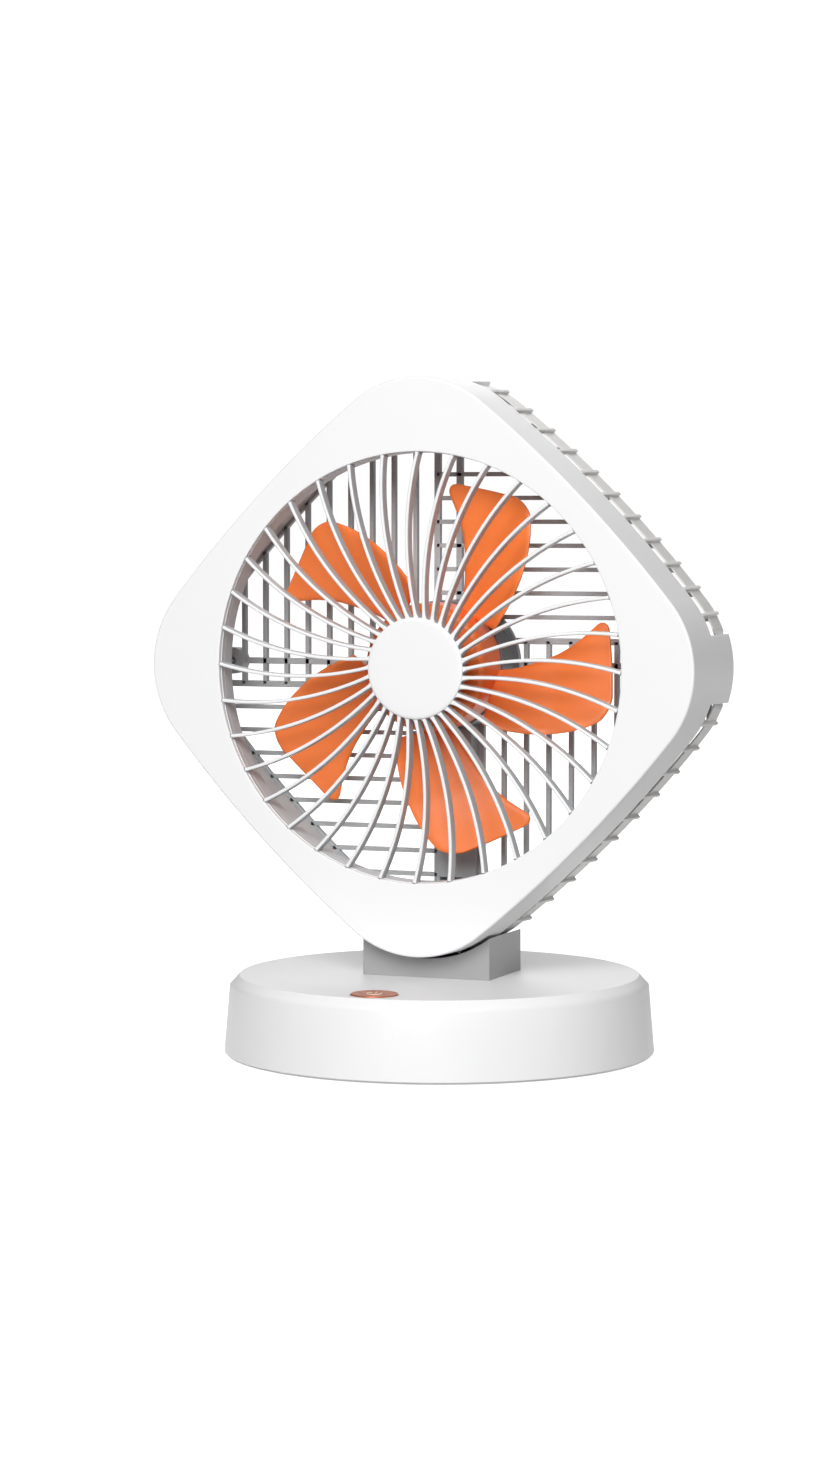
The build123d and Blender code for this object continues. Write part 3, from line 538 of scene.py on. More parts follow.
# ------------------------------------------------------------ stem
# A short rectangular post, moulded hollow, that is screwed to the base from below and to
# the head's lower corner from inside.
light_grey = finish("light_grey_moulding", MOULDING, {"Colour": (0.32, 0.32, 0.325, 1),
                    "Drift": 0.04, "Roughness": 0.42}, bump=0.06)
show(eased_copy("square_stem", "stem", 0.45, segments=3), light_grey, "light_grey_plastic",
     "housing", "stem")
STEM_SCREW_PLACES = [(-8, 0, 33.2), (8, 0, 33.2)]
FOOT_SCREW_PLACES = [(x, y, 26.6) for x in (-19.0, 19.0) for y in (-8.2, 14.1)]
screws("stem_upper_screws", [place(p, DOWN) for p in STEM_SCREW_PLACES], 2.4, 1.5, 1.0, 10,
       "stem_head_screws")
screws("stem_lower_screws", [place(p, DOWN) for p in FOOT_SCREW_PLACES], 2.8, 1.8, 1.4, 8.5,
       "stem_foot_screws")


# ------------------------------------------------------------ front shell
# Bezel and side wall in one satin moulding. The face is flat with a soft outer edge; the
# wall stops short for the air slots except at the four corners, which run to the back.
AXIS_Z = 140.3
TIP, CORNER_R, SIDE_R = 104.6, 40.0, 460.0
FRONT, WALL_BACK, BACK = -23.7, 0.0, 19.5
HOLE_R, WALL, FACE_EASE, DRAFT = 76.65, 2.0, 0.8, 1.5
CORNER_HALF = 12.4
CORNER_CENTRE = TIP - CORNER_R
_half = CORNER_CENTRE * math.cos(math.pi / 4)
SIDE_OFFSET = -_half + math.sqrt(_half**2 - CORNER_CENTRE**2 + (SIDE_R - CORNER_R)**2)
SWING = math.atan2(SIDE_OFFSET * math.cos(math.pi / 4),
                   CORNER_CENTRE + SIDE_OFFSET * math.cos(math.pi / 4))


def spread(first, last, count):
    return [first + (last - first) * k / count for k in range(count)]


def outline_stations():
    """Steps round the head's outline: arc centre, arc radius, outward direction, at a corner."""
    block = math.asin(CORNER_HALF / CORNER_R)
    stations = []
    for quarter in range(4):
        spin = quarter * math.pi / 2
        corner = (CORNER_CENTRE * math.cos(spin), CORNER_CENTRE * math.sin(spin))
        diagonal = spin + math.pi / 4
        side = (-SIDE_OFFSET * math.cos(diagonal), -SIDE_OFFSET * math.sin(diagonal))
        for angle in spread(-SWING, -block, 10) + spread(-block, block, 18) + spread(block, SWING, 10):
            inside = -block - 1e-9 <= angle < block - 1e-9
            stations.append((corner, CORNER_R, spin + angle, inside))
        for angle in spread(SWING, math.pi / 2 - SWING, 20):
            stations.append((side, SIDE_R, spin + angle, False))
    return stations


STATIONS = outline_stations()


def outline_loop(inset, y):
    """The head's outline, drawn in by an inset, at one depth."""
    return [((c[0] + (r - inset) * math.cos(a)) * MM, y * MM,
             (AXIS_Z + c[1] + (r - inset) * math.sin(a)) * MM) for c, r, a, _ in STATIONS]


def drawn_in(y):
    """How far the moulding's draft draws the side wall in at one depth."""
    return DRAFT * (BACK - y) / (BACK - FRONT)


def wall_loop(inset, y):
    return outline_loop(inset + drawn_in(y), y)


def hole_loop(radius, y):
    """A circle about the rotor's axis with one point towards each outline step."""
    points = []
    for x, _, z in outline_loop(0, y):
        angle = math.atan2(z - AXIS_Z * MM, x)
        points.append((radius * math.cos(angle) * MM, y * MM,
                       (AXIS_Z + radius * math.sin(angle)) * MM))
    return points


def front_shell_mesh():
    loops = [hole_loop(HOLE_R, FRONT + WALL), hole_loop(HOLE_R, FRONT + 0.35),
             hole_loop(HOLE_R + 0.1, FRONT + 0.1), hole_loop(HOLE_R + 0.35, FRONT),
             hole_loop(HOLE_R + 1.2, FRONT), wall_loop(FACE_EASE + 1, FRONT)]
    for step in range(9):
        angle = math.pi / 2 * step / 8
        loops.append(wall_loop(FACE_EASE * (1 - math.sin(angle)),
                               FRONT + FACE_EASE * (1 - math.cos(angle))))
    loops += [wall_loop(0, FRONT + FACE_EASE + 1), wall_loop(0, WALL_BACK),
              wall_loop(WALL, WALL_BACK), wall_loop(WALL, FRONT + WALL)]
    outer_back = len(loops) - 3
    count = len(STATIONS)
    verts = [point for loop in loops for point in loop]
    faces = []
    for band in range(len(loops)):
        after = (band + 1) % len(loops)
        for step in range(count):
            ahead = (step + 1) % count
            if band == outer_back and STATIONS[step][3]:
                continue
            faces.append([band * count + step, band * count + ahead,
                          after * count + ahead, after * count + step])
    far = len(verts)
    verts += outline_loop(0, BACK) + outline_loop(WALL, BACK)
    near_out, near_in = outer_back * count, (outer_back + 1) * count
    for step in range(count):
        if not STATIONS[step][3]:
            continue
        ahead = (step + 1) % count
        faces += [[near_out + step, near_out + ahead, far + ahead, far + step],
                  [far + step, far + ahead, far + count + ahead, far + count + step],
                  [far + count + step, far + count + ahead, near_in + ahead, near_in + step]]
        for edge, beyond in ((step, (step - 1) % count), (ahead, ahead)):
            if not STATIONS[beyond][3]:
                faces.append([near_out + edge, far + edge, far + count + edge, near_in + edge])
    used = sorted({i for face in faces for i in face})
    number = {old: new for new, old in enumerate(used)}
    return outward("front_shell", [verts[i] for i in used],
                   [[number[i] for i in face] for face in faces])


bezel = shaped("bezel_and_wall", front_shell_mesh(), 0.3, ease_angle=50)
show(bezel, white, "white_plastic", "housing", "front_shell")


# ------------------------------------------------------------ front grille
# Outer ring, 36 swirled spokes and the centre boss, moulded as one piece. Each spoke is a
# thin upright rib with a round front edge that widens into the ring and the boss.
SPOKES, SPOKE_W, SPOKE_DEPTH, SPOKE_BOW = 36, 1.3, 4.4, 3.5
RING_BACK = FRONT + SPOKE_DEPTH
BOSS_R = 17.3


def spoke_path(share):
    """Place and direction along a spoke, from the boss (0) to the ring (1)."""
    start, middle, end = (BOSS_R - 1, -0.5), ((BOSS_R + HOLE_R) / 2, SPOKE_BOW), (HOLE_R + 0.05, -0.6)
    a, b = (1 - share) * (1 - 2 * share), share * (2 * share - 1)
    c = 4 * share * (1 - share)
    x, y = (a * start[i] + c * middle[i] + b * end[i] for i in (0, 1))
    da, dc, db = 4 * share - 3, 4 - 8 * share, 4 * share - 1
    along = Vector([da * start[i] + dc * middle[i] + db * end[i] for i in (0, 1)]).normalized()
    return x, y, along


def spoke_mesh():
    """One spoke lying along +X from the rotor's axis."""
    verts, faces = [], []
    shares = [0, 0.02, 0.04, 0.07, 0.12] + [0.12 + 0.76 * k / 16 for k in range(1, 17)]
    shares += [0.92, 0.95, 0.965, 0.98, 0.99, 1.0]
    for share in shares:
        x, y, along = spoke_path(share)
        to_collar, to_boss = HOLE_R - x, x - BOSS_R
        flare = 0.15 * max(0, 1 - to_collar / 1.8)**2 + 0.7 * max(0, 1 - to_boss / 2.5)**2
        half = SPOKE_W / 2 + flare
        section = eased_corners([(-half, 0, 0.5), (half, 0, 0.5), (half, SPOKE_DEPTH, 0.3),
                                 (-half, SPOKE_DEPTH, 0.3)], steps=3)
        for across, depth in section:
            verts.append(((x - along.y * across) * MM, (FRONT + depth) * MM,
                          (y + along.x * across) * MM))
    count = len(verts) // len(shares)
    for row in range(len(shares) - 1):
        for i in range(count):
            j = (i + 1) % count
            faces.append([row * count + i, row * count + j, (row + 1) * count + j,
                          (row + 1) * count + i])
    last = (len(shares) - 1) * count
    faces += [list(range(count)), list(range(last, last + count))]
    return outward("spoke", verts, faces)


def painted_shade_rib_finish():
    """The white moulding with painted shade: each face that does not look to the front is painted mid
    grey, standing in for the shade on the flanks of the ribs, the ring and the duct.
    """
    material = finish("white_moulding_painted_flank_shade", MOULDING, {"Colour": WHITE, "Drift": 0.03,
                      "Roughness": 0.45}, bump=0.06)
    nodes, links = material.node_tree.nodes, material.node_tree.links
    base = nodes["Principled BSDF"].inputs["Base Color"]
    plain_colour = base.links[0].from_socket
    parts = nodes.new("ShaderNodeSeparateXYZ")
    facing = nodes.new("ShaderNodeMapRange")
    facing.inputs["From Min"].default_value = -0.35
    facing.inputs["From Max"].default_value = -0.8
    painted_flank_shade = nodes.new("ShaderNodeMixRGB")
    # Painted shade: this mid grey stands in for the shade on faces turned away from the front.
    painted_flank_shade.inputs["Color1"].default_value = (0.52, 0.545, 0.56, 1)
    links.new(nodes["Texture Coordinate"].outputs["Normal"], parts.inputs["Vector"])
    links.new(parts.outputs["Y"], facing.inputs["Value"])
    links.new(facing.outputs["Result"], painted_flank_shade.inputs["Fac"])
    links.new(plain_colour, painted_flank_shade.inputs["Color2"])
    links.new(painted_flank_shade.outputs["Color"], base)
    return material


rib_white_painted_shade = painted_shade_rib_finish()
spoke = shaped("spoke", spoke_mesh())
spoke_places = [place((0, 0, AXIS_Z), (0, -math.tau * k / SPOKES, 0)) for k in range(SPOKES)]
# The spokes' flanks carry the painted shade of this finish.
show(copies("swirled_spokes", spoke, spoke_places, rib_white_painted_shade), rib_white_painted_shade, "white_plastic", "housing",
     "front_grille")
ring_profile = eased_corners([
    (HOLE_R - 0.2, -21.65, 0.1), (HOLE_R + 4.4, -21.65, 0.2), (HOLE_R + 4.4, RING_BACK, 0.2),
    (HOLE_R - 0.2, RING_BACK, 0.1)], 2)
ring = turned("grille_ring", ring_profile, (0, 0, AXIS_Z), upright=False, steps=180)
# The ring's walls carry the same painted shade.
show(shaped("grille_ring", ring), rib_white_painted_shade, "white_plastic", "housing")
boss_profile = eased_corners([
    (0, FRONT, 0), (BOSS_R, FRONT, 0.2), (BOSS_R, FRONT + SPOKE_DEPTH, 0.4),
    (BOSS_R - 1.6, FRONT + SPOKE_DEPTH, 0.3), (BOSS_R - 1.6, FRONT + 2.4, 0.3),
    (0, FRONT + 2.4, 0)])
boss = turned("centre_boss", boss_profile, (0, 0, AXIS_Z), upright=False)
show(shaped("centre_boss", boss), white, "white_plastic", "housing")


# ------------------------------------------------------------ air collar
# A smooth round duct behind the spokes that leads the air through the bezel.
COLLAR_BACK = -12.6
collar_profile = eased_corners([
    (HOLE_R - 0.2, RING_BACK + 0.05, 0.1), (HOLE_R + 4.4, RING_BACK + 0.05, 0.2),
    (HOLE_R + 4.4, RING_BACK + 1.25, 0.2), (HOLE_R + 1.5, RING_BACK + 1.25, 0.3),
    (HOLE_R + 1.5, COLLAR_BACK, 0.4), (HOLE_R - 0.2, COLLAR_BACK, 0.4)])
collar = turned("round_duct", collar_profile, (0, 0, AXIS_Z), upright=False, steps=180)
# The duct's walls are painted mid grey as shade by the same finish.
show(shaped("round_duct", collar), rib_white_painted_shade, "white_plastic", "housing", "air_collar")


# ------------------------------------------------------------ grille cap
# A plain, slightly domed round cap with a soft edge, snapped over the spokes' inner ends.
CAP_R, CAP_FRONT = 18.1, -24.7
cap_profile = [(0, CAP_FRONT), (6, CAP_FRONT + 0.01), (12, CAP_FRONT + 0.04),
               (16, CAP_FRONT + 0.1), (17.1, CAP_FRONT + 0.17), (17.7, CAP_FRONT + 0.34),
               (18.02, CAP_FRONT + 0.6), (CAP_R, CAP_FRONT + 0.8), (CAP_R, FRONT - 0.03),
               (0, FRONT - 0.03)]
cap = turned("round_cap", cap_profile, (0, 0, AXIS_Z), upright=False)
show(shaped("round_cap", cap), white, "white_plastic", "housing", "grille_cap")


# ------------------------------------------------------------ vent ring
# A white rail round the back of the head; thin fins stand on it square to the sides and
# guard the slots between the rail and the side wall.
RAIL_INSET, RAIL_EDGE_T, RAIL_T, RAIL_FRONT = 1.45, 0.5, 1.95, 7.6
LINK_INSET, LINK_FRONT, FIN_INSET = 2.55, 12.5, 4.4
FIN_PITCH, FIN_HALF_COUNT, FIN_T, FIN_FRONT, FIN_BACK = 11.2, 5, 1.3, 0.05, 18.0
# Painted shade: the rail and fins are the bezel's white moulding, greyed here to stand in for the
# shade inside the back of the head.
vent_white_painted_shade = finish("vent_moulding_painted_shade", MOULDING, {"Colour": (0.72, 0.71, 0.695, 1), "Drift": 0.03,
                    "Roughness": 0.45}, bump=0.06)


def swept_outline(name, section, in_corners=None):
    """A closed section of (inset, depth) points carried round the head's outline.

    Another section of as many points may take over behind the corner blocks.
    """
    count = len(STATIONS)
    behind = [STATIONS[step][3] or STATIONS[step - 1][3] for step in range(count)]
    loops = []
    for side_point, corner_point in zip(section, in_corners or section):
        sides, corners = outline_loop(*side_point), outline_loop(*corner_point)
        loops.append([corners[i] if behind[i] else sides[i] for i in range(count)])
    verts = [point for loop in loops for point in loop]
    faces = [[band * count + step, band * count + (step + 1) % count,
              (band + 1) % len(loops) * count + (step + 1) % count,
              (band + 1) % len(loops) * count + step]
             for band in range(len(loops)) for step in range(count)]
    return outward(name, verts, faces)


def side_reach(along):
    """Distance from the axis to the outline, square to a side, this far from its middle."""
    if abs(along) < SIDE_R * math.sin(math.pi / 4 - SWING):
        return -SIDE_OFFSET + math.sqrt(SIDE_R**2 - along**2)
    half = CORNER_CENTRE * math.cos(math.pi / 4)
    return half + math.sqrt(CORNER_R**2 - (abs(along) - half)**2)


rail_section = eased_corners([
    (RAIL_INSET, RAIL_FRONT, 0.15), (RAIL_INSET, BACK, 0.35), (RAIL_INSET + RAIL_T, BACK, 0.3),
    (RAIL_INSET + RAIL_EDGE_T, RAIL_FRONT, 0.15)], steps=2)
link_section = eased_corners([
    (LINK_INSET, LINK_FRONT, 0.15), (LINK_INSET, BACK, 0.3), (RAIL_INSET + RAIL_T, BACK, 0.3),
    (RAIL_INSET + RAIL_T, LINK_FRONT, 0.15)], steps=2)
show(shaped("vent_rail", swept_outline("vent_rail", rail_section, link_section)), vent_white_painted_shade,
     "white_plastic", "housing", "vent_ring")


def plate(name, spans):
    """A box between three (low, high) limits in mm."""
    verts = [(x * MM, y * MM, z * MM) for x in spans[0] for y in spans[1] for z in spans[2]]
    faces = [[0, 1, 3, 2], [4, 6, 7, 5], [0, 4, 5, 1], [2, 3, 7, 6], [0, 2, 6, 4], [1, 5, 7, 3]]
    return outward(name, verts, faces)


def fin_mesh():
    """One fin square to the side: deep in front of the rail, shallow where it crosses it."""
    root = -RAIL_INSET - 0.4
    section = [(-FIN_INSET, FIN_FRONT), (-drawn_in(FIN_FRONT), FIN_FRONT),
               (-drawn_in(FIN_BACK), FIN_BACK), (root, FIN_BACK), (root, RAIL_FRONT),
               (-FIN_INSET, RAIL_FRONT)]
    count = len(section)
    verts = [(x * MM, y * MM, z * MM) for z in (-FIN_T / 2, FIN_T / 2) for x, y in section]
    faces = [list(range(count)), list(range(count, 2 * count))]
    faces += [[i, (i + 1) % count, count + (i + 1) % count, count + i] for i in range(count)]
    return outward("fin", verts, faces)


fin = shaped("fin", fin_mesh(), 0.2)
fin_places = []
for quarter in range(4):
    turn = math.pi / 4 + quarter * math.pi / 2
    for k in range(-FIN_HALF_COUNT, FIN_HALF_COUNT + 1):
        out, along = side_reach(FIN_PITCH * k), FIN_PITCH * k
        fin_places.append(place((out * math.cos(turn) - along * math.sin(turn), 0,
                                 AXIS_Z + out * math.sin(turn) + along * math.cos(turn)),
                                (0, -turn, 0)))
# The fins share the rail's greyed colour, which is painted shade.
show(copies("side_fins", fin, fin_places, vent_white_painted_shade), vent_white_painted_shade, "white_plastic", "housing")


# ------------------------------------------------------------ rear grille
# Dark grey moulding that closes the back: a thin frame behind the rail, a pinwheel of
# slats and a round plate that carries the motor.
FRAME_INSET, FRAME_W = 2.6, 1.9
SLAT_PITCH, SLAT_COUNT, SLAT_T, BAR_T = 8.65, 11, 1.65, 2.3
SLAT_FRONT, SLAT_BACK = 19.7, 22.2
DUCT_HALF = 7.6
MOTOR_R, PLATE_LAP = 23.6, 1.0    # the slats run this far into the motor's plate
POSTS = [(0, 90), (-90, 0), (90, 0), (-15, -87), (15, -87)]
MOTOR_SCREW_R = 15.0
dark = finish("dark_grey_moulding", MOULDING, {"Colour": (0.46, 0.485, 0.5, 1), "Drift": 0.1,
              "Roughness": 0.5}, bump=0.1)

frame_section = eased_corners([
    (FRAME_INSET, SLAT_FRONT, 0.2), (FRAME_INSET, SLAT_BACK, 0.5),
    (FRAME_INSET + FRAME_W, SLAT_BACK, 0.3), (FRAME_INSET + FRAME_W, SLAT_FRONT, 0.2)], 2)
show(shaped("slat_frame", swept_outline("slat_frame", frame_section)), dark, "grey_plastic",
     "housing", "rear_grille")


def frame_reach(across):
    """How far a slat this far from the axis runs before it is inside the frame."""
    low, high = 0.0, TIP
    for _ in range(40):
        middle = (low + high) / 2
        out = (middle + abs(across)) / math.sqrt(2)
        along = (middle - abs(across)) / math.sqrt(2)
        inside = out < side_reach(along) - FRAME_INSET - FRAME_W / 2 if abs(along) < 80 else True
        low, high = (middle, high) if inside else (low, middle)
    return low


def slat(width):
    """A slat one metre long with eased long edges, to be stretched to its length."""
    section = eased_corners([(-width / 2, SLAT_FRONT, 0.2), (width / 2, SLAT_FRONT, 0.2),
                             (width / 2, SLAT_BACK, 0.3), (-width / 2, SLAT_BACK, 0.3)], steps=2)
    count = len(section)
    verts = [(x * MM, y * MM, z) for z in (-0.5, 0.5) for x, y in section]
    faces = [list(range(count)), list(range(count, 2 * count))]
    faces += [[i, (i + 1) % count, count + (i + 1) % count, count + i] for i in range(count)]
    return shaped("slat", outward("slat", verts, faces))


def slat_runs():
    """Each slat as (quarter turn, distance from the axis, start, end) along its length."""
    runs = []
    for quarter in range(4):
        for k in range(SLAT_COUNT + 1):
            across, end = SLAT_PITCH * k, frame_reach(SLAT_PITCH * k)
            start = -SLAT_PITCH
            if across < MOTOR_R:
                start = math.sqrt(MOTOR_R**2 - across**2) - PLATE_LAP
            if quarter == 1 and k > 2:
                start = DUCT_HALF + 0.1
            if end > start and (quarter, k) != (2, 0):
                runs.append((quarter, across, start, end))
    runs.append((2, -SLAT_PITCH, 20, frame_reach(SLAT_PITCH)))
    return runs


def slat_place(quarter, across, start, end):
    """The slat stands at -across and runs from start to end, turned anticlockwise in front view."""
    turn = quarter * math.pi / 2
    x, z = -across, (start + end) / 2
    return place((x * math.cos(turn) - z * math.sin(turn), 0,
                  AXIS_Z + x * math.sin(turn) + z * math.cos(turn)),
                 (0, -turn, 0), (1, 1, (end - start) * MM))


wide = [run for run in slat_runs() if abs(run[1]) < 1.5 * SLAT_PITCH]
thin = [run for run in slat_runs() if abs(run[1]) > 1.5 * SLAT_PITCH]
show(copies("centre_slats", slat(BAR_T), [slat_place(*run) for run in wide], dark), dark,
     "grey_plastic", "housing")
show(copies("rear_slats", slat(SLAT_T), [slat_place(*run) for run in thin], dark), dark,
     "grey_plastic", "housing")


def level_ring(name, corners, steps=64, centre=(0, 0, AXIS_Z)):
    return shaped(name, turned(name, eased_corners(corners), centre, upright=False, steps=steps))


lug = level_ring("lug", [(1.35, 17.0, 0.1), (5.0, 17.0, 0.3), (5.0, SLAT_BACK, 0.4),
                         (2.5, SLAT_BACK, 0.2), (2.5, 20.4, 0), (1.35, 20.4, 0)], 40, (0, 0, 0))
show(copies("screw_lugs", lug, [place((x, 0, AXIS_Z + z)) for x, z in POSTS], dark), dark,
     "grey_plastic", "housing")
motor_screw_spots = [(MOTOR_SCREW_R * math.cos(a), MOTOR_SCREW_R * math.sin(a))
                     for a in (math.pi / 2 + math.tau * k / 3 for k in range(3))]


def motor_plate():
    """The round plate with a sunk seat for each motor screw."""
    piece = level_ring("motor_plate", [(0, SLAT_FRONT, 0), (MOTOR_R, SLAT_FRONT, 0.3),
                                       (MOTOR_R, SLAT_BACK, 0.5), (0, SLAT_BACK, 0)], 128)
    seat = level_ring("seat", [(0, SLAT_BACK - 1.5, 0), (2.5, SLAT_BACK - 1.5, 0),
                               (2.5, SLAT_BACK + 2, 0), (0, SLAT_BACK + 2, 0)], 40, (0, 0, 0))
    cutter = copies("seats", seat, [place((x, 0, AXIS_Z + z)) for x, z in motor_screw_spots],
                    dark)
    cut = piece.modifiers.new("seats", "BOOLEAN")
    cut.object = cutter
    made = bpy.data.meshes.new_from_object(
        piece.evaluated_get(bpy.context.evaluated_depsgraph_get()))
    made.set_sharp_from_angle(angle=math.radians(35))
    for face in made.polygons:
        face.use_smooth = abs(face.normal.y) < 0.99
    piece.modifiers.clear()
    piece.data = made
    bpy.data.objects.remove(cutter)
    return piece


show(motor_plate(), dark, "grey_plastic", "housing")
screws("rear_grille_fixings", [place((x, SLAT_BACK - 1.8, AXIS_Z + z), TO_BACK)
       for x, z in POSTS], 2.2, 1.3, 1.0, 10, "rear_grille_screws")
screws("motor_fixings", [place((x, SLAT_BACK - 1.5, AXIS_Z + z), TO_BACK)
       for x, z in motor_screw_spots], 2.2, 1.3, 1.0, 14, "motor_screws")
show(eased_copy("lead_channel", "motor_lead_duct", 0.35), dark, "grey_plastic", "housing",
     "motor_lead_duct")


# ------------------------------------------------------------ motor
# A round slate-grey housing in two halves with a dark seam between them; inside are the
# drive board, the sintered bushes and the wound nine-tooth core.
slate = finish("slate_moulding", MOULDING, {"Colour": (0.16, 0.17, 0.19, 1), "Drift": 0.12,
               "Roughness": 0.38}, bump=0.08)
show(eased_copy("motor_front_half", "motor_base", 0.35), slate, "grey_plastic", "housing",
     "motor_base")
show(eased_copy("motor_rear_half", "motor_cover", 0.35), slate, "grey_plastic", "housing",
     "motor_cover")
bronze = finish("sintered_bronze", TOOL_MARKS, {"Colour": (0.5, 0.33, 0.15, 1), "Roughness": 0.5,
                "Marks Per Metre": 4000.0, "Drift": 0.4}, metallic=1.0, bump=0.3)
dress(bronze, "front_bush", "rear_bush")


def layered_finish(name, colour, per_metre, axis, roughness):
    """Metal built of fine parallel layers: stacked sheets or laid wire."""
    material = finish(name, TOOL_MARKS, {"Colour": colour, "Roughness": roughness},
                      metallic=1.0, bump=0.6, depth=0.15)
    tree = material.node_tree
    bands = tree.nodes.new("ShaderNodeTexWave")
    bands.bands_direction = axis
    bands.inputs["Scale"].default_value = per_metre
    tree.links.new(tree.nodes["Texture Coordinate"].outputs["Object"], bands.inputs["Vector"])
    tree.links.new(bands.outputs["Fac"], tree.nodes["Bump"].inputs["Height"])
    return material


dress(layered_finish("stacked_core", (0.33, 0.33, 0.35, 1), 320.0, "Y", 0.4), "stator_core")
dress(layered_finish("enamelled_wire", (0.62, 0.25, 0.09, 1), 700.0, "DIAGONAL", 0.3),
      "stator_windings")


# ------------------------------------------------------------ rotor
# Orange hub and five scimitar blades in one moulding; a steel cup, a ring magnet, the
# shaft and its clip turn with it.
BLADES, BLADE_T, BLADE_CAMBER = 5, 1.3, 1.2
BLADE_TURN = math.radians(-0.5)
HUB_R, HUB_FRONT, HUB_BACK = 23.0, -15.2, 2.0
ORANGE = (1.0, 0.225, 0.045, 1)
orange = finish("orange_moulding", MOULDING, {"Colour": ORANGE, "Drift": 0.05,
                "Roughness": 0.42}, bump=0.06)
# distance from the axis, then (place round the turn, depth) of the trailing and leading edges
BLADE_STATIONS = [
    (12, (-18.0, -12.6), (-2.0, 0.3)), (30, (-22.0, -11.4), (0.1, 0.6)),
    (46, (-22.6, -9.4), (5.6, 0.7)), (58, (-20.2, -7.9), (14.4, 0.7)),
    (72, (-17.0, -6.6), (17.0, 0.7))]
LEADING = [(21, -1.3), (31, 0.2), (44, 4.7), (52, 9.4), (58.6, 15), (60.3, 16.5), (62.2, 16.8),
           (63.8, 15.6), (64.4, 13.4)]
TIP_EDGE = [(64.4, 13.4), (66.1, 1.5), (67.3, -9.5)]
TRAILING = [(21, -19.8), (24, -20.6), (32, -22.2), (41, -22.9), (50, -22.2), (57, -20.6),
            (62.8, -18.2), (65.1, -15.9), (66.6, -12.9), (67.3, -9.5)]


def smooth_line(points, count):
    """Evenly spaced points on a Catmull-Rom line through the given ones."""
    points = [Vector(p) for p in points]
    ends = [2 * points[0] - points[1]] + points + [2 * points[-1] - points[-2]]
    fine = []
    for a, b, c, d in zip(ends, ends[1:], ends[2:], ends[3:]):
        for k in range(24):
            t = k / 24
            fine.append(0.5 * (2 * b + (c - a) * t + (2 * a - 5 * b + 4 * c - d) * t**2
                               + (3 * b - a - 3 * c + d) * t**3))
    fine.append(points[-1])
    lengths = [0.0]
    for here, there in zip(fine, fine[1:]):
        lengths.append(lengths[-1] + (there - here).length)
    result, index = [], 0
    for k in range(count + 1):
        want = lengths[-1] * k / count
        while index < len(fine) - 2 and lengths[index + 1] < want:
            index += 1
        share = (want - lengths[index]) / (lengths[index + 1] - lengths[index])
        result.append(fine[index].lerp(fine[index + 1], share))
    return result


def blade_depth(reach, round_turn):
    """Depth of the blade's middle surface at one spot, blended between its stations."""
    for low, high in zip(BLADE_STATIONS, BLADE_STATIONS[1:]):
        if reach <= high[0] or high is BLADE_STATIONS[-1]:
            share = (reach - low[0]) / (high[0] - low[0])
            break
    ease = share
    edges = [Vector(low[i]).lerp(Vector(high[i]), ease) for i in (1, 2)]
    across = (round_turn - edges[0].x) / (edges[1].x - edges[0].x)
    crown = BLADE_CAMBER * (1 - (2 * across - 1)**2)
    return edges[0].y + (edges[1].y - edges[0].y) * across + crown


def blade_mesh(rows=36, columns=22):
    """One blade along +X: a bent sheet with round edges, fitted to its outline."""
    lead, trail = smooth_line(LEADING, rows), smooth_line(TRAILING, rows)
    tip = smooth_line(TIP_EDGE, columns)
    root = [lead[0].lerp(trail[0], k / columns) for k in range(columns + 1)]
    grid = []
    for i in range(rows + 1):
        s = i / rows
        line = []
        for j in range(columns + 1):
            t = j / columns
            spot = (lead[i].lerp(trail[i], t) + root[j].lerp(tip[j], s)
                    - (lead[0].lerp(trail[0], t)).lerp(lead[-1].lerp(trail[-1], t), s))
            line.append(Vector((spot.x, blade_depth(spot.x, spot.y), spot.y)))
        grid.append(line)
    return grid


def blade_solid():
    grid = blade_mesh()
    rows, columns = len(grid), len(grid[0])
    verts, faces = [], []

    def slope(i, j):
        up = grid[min(i + 1, rows - 1)][j] - grid[max(i - 1, 0)][j]
        over = grid[i][min(j + 1, columns - 1)] - grid[i][max(j - 1, 0)]
        return up.cross(over).normalized()

    for sign in (1, -1):
        for i in range(rows):
            for j in range(columns):
                thick = BLADE_T / 2
                if i == rows - 1 or j in (0, columns - 1):
                    thick *= 0.45
                spot = grid[i][j] + slope(i, j) * thick * sign
                verts.append((spot.x * MM, spot.y * MM, (AXIS_Z + spot.z) * MM))
    half = rows * columns
    for side in (0, half):
        for i in range(rows - 1):
            for j in range(columns - 1):
                a = side + i * columns + j
                faces.append([a, a + 1, a + columns + 1, a + columns])
    border = [(0, j) for j in range(columns)] + [(i, columns - 1) for i in range(1, rows)]
    border += [(rows - 1, j) for j in range(columns - 2, -1, -1)]
    border += [(i, 0) for i in range(rows - 2, 0, -1)]
    index = [i * columns + j for i, j in border]
    for here, there in zip(index, index[1:] + index[:1]):
        faces.append([here, there, half + there, half + here])
    return outward("blade", verts, faces)


def about_axis(mesh_data):
    """Moves a mesh so that the rotor's axis is at the origin, ready to be copied round it."""
    for vertex in mesh_data.vertices:
        vertex.co.z -= AXIS_Z * MM
    return mesh_data


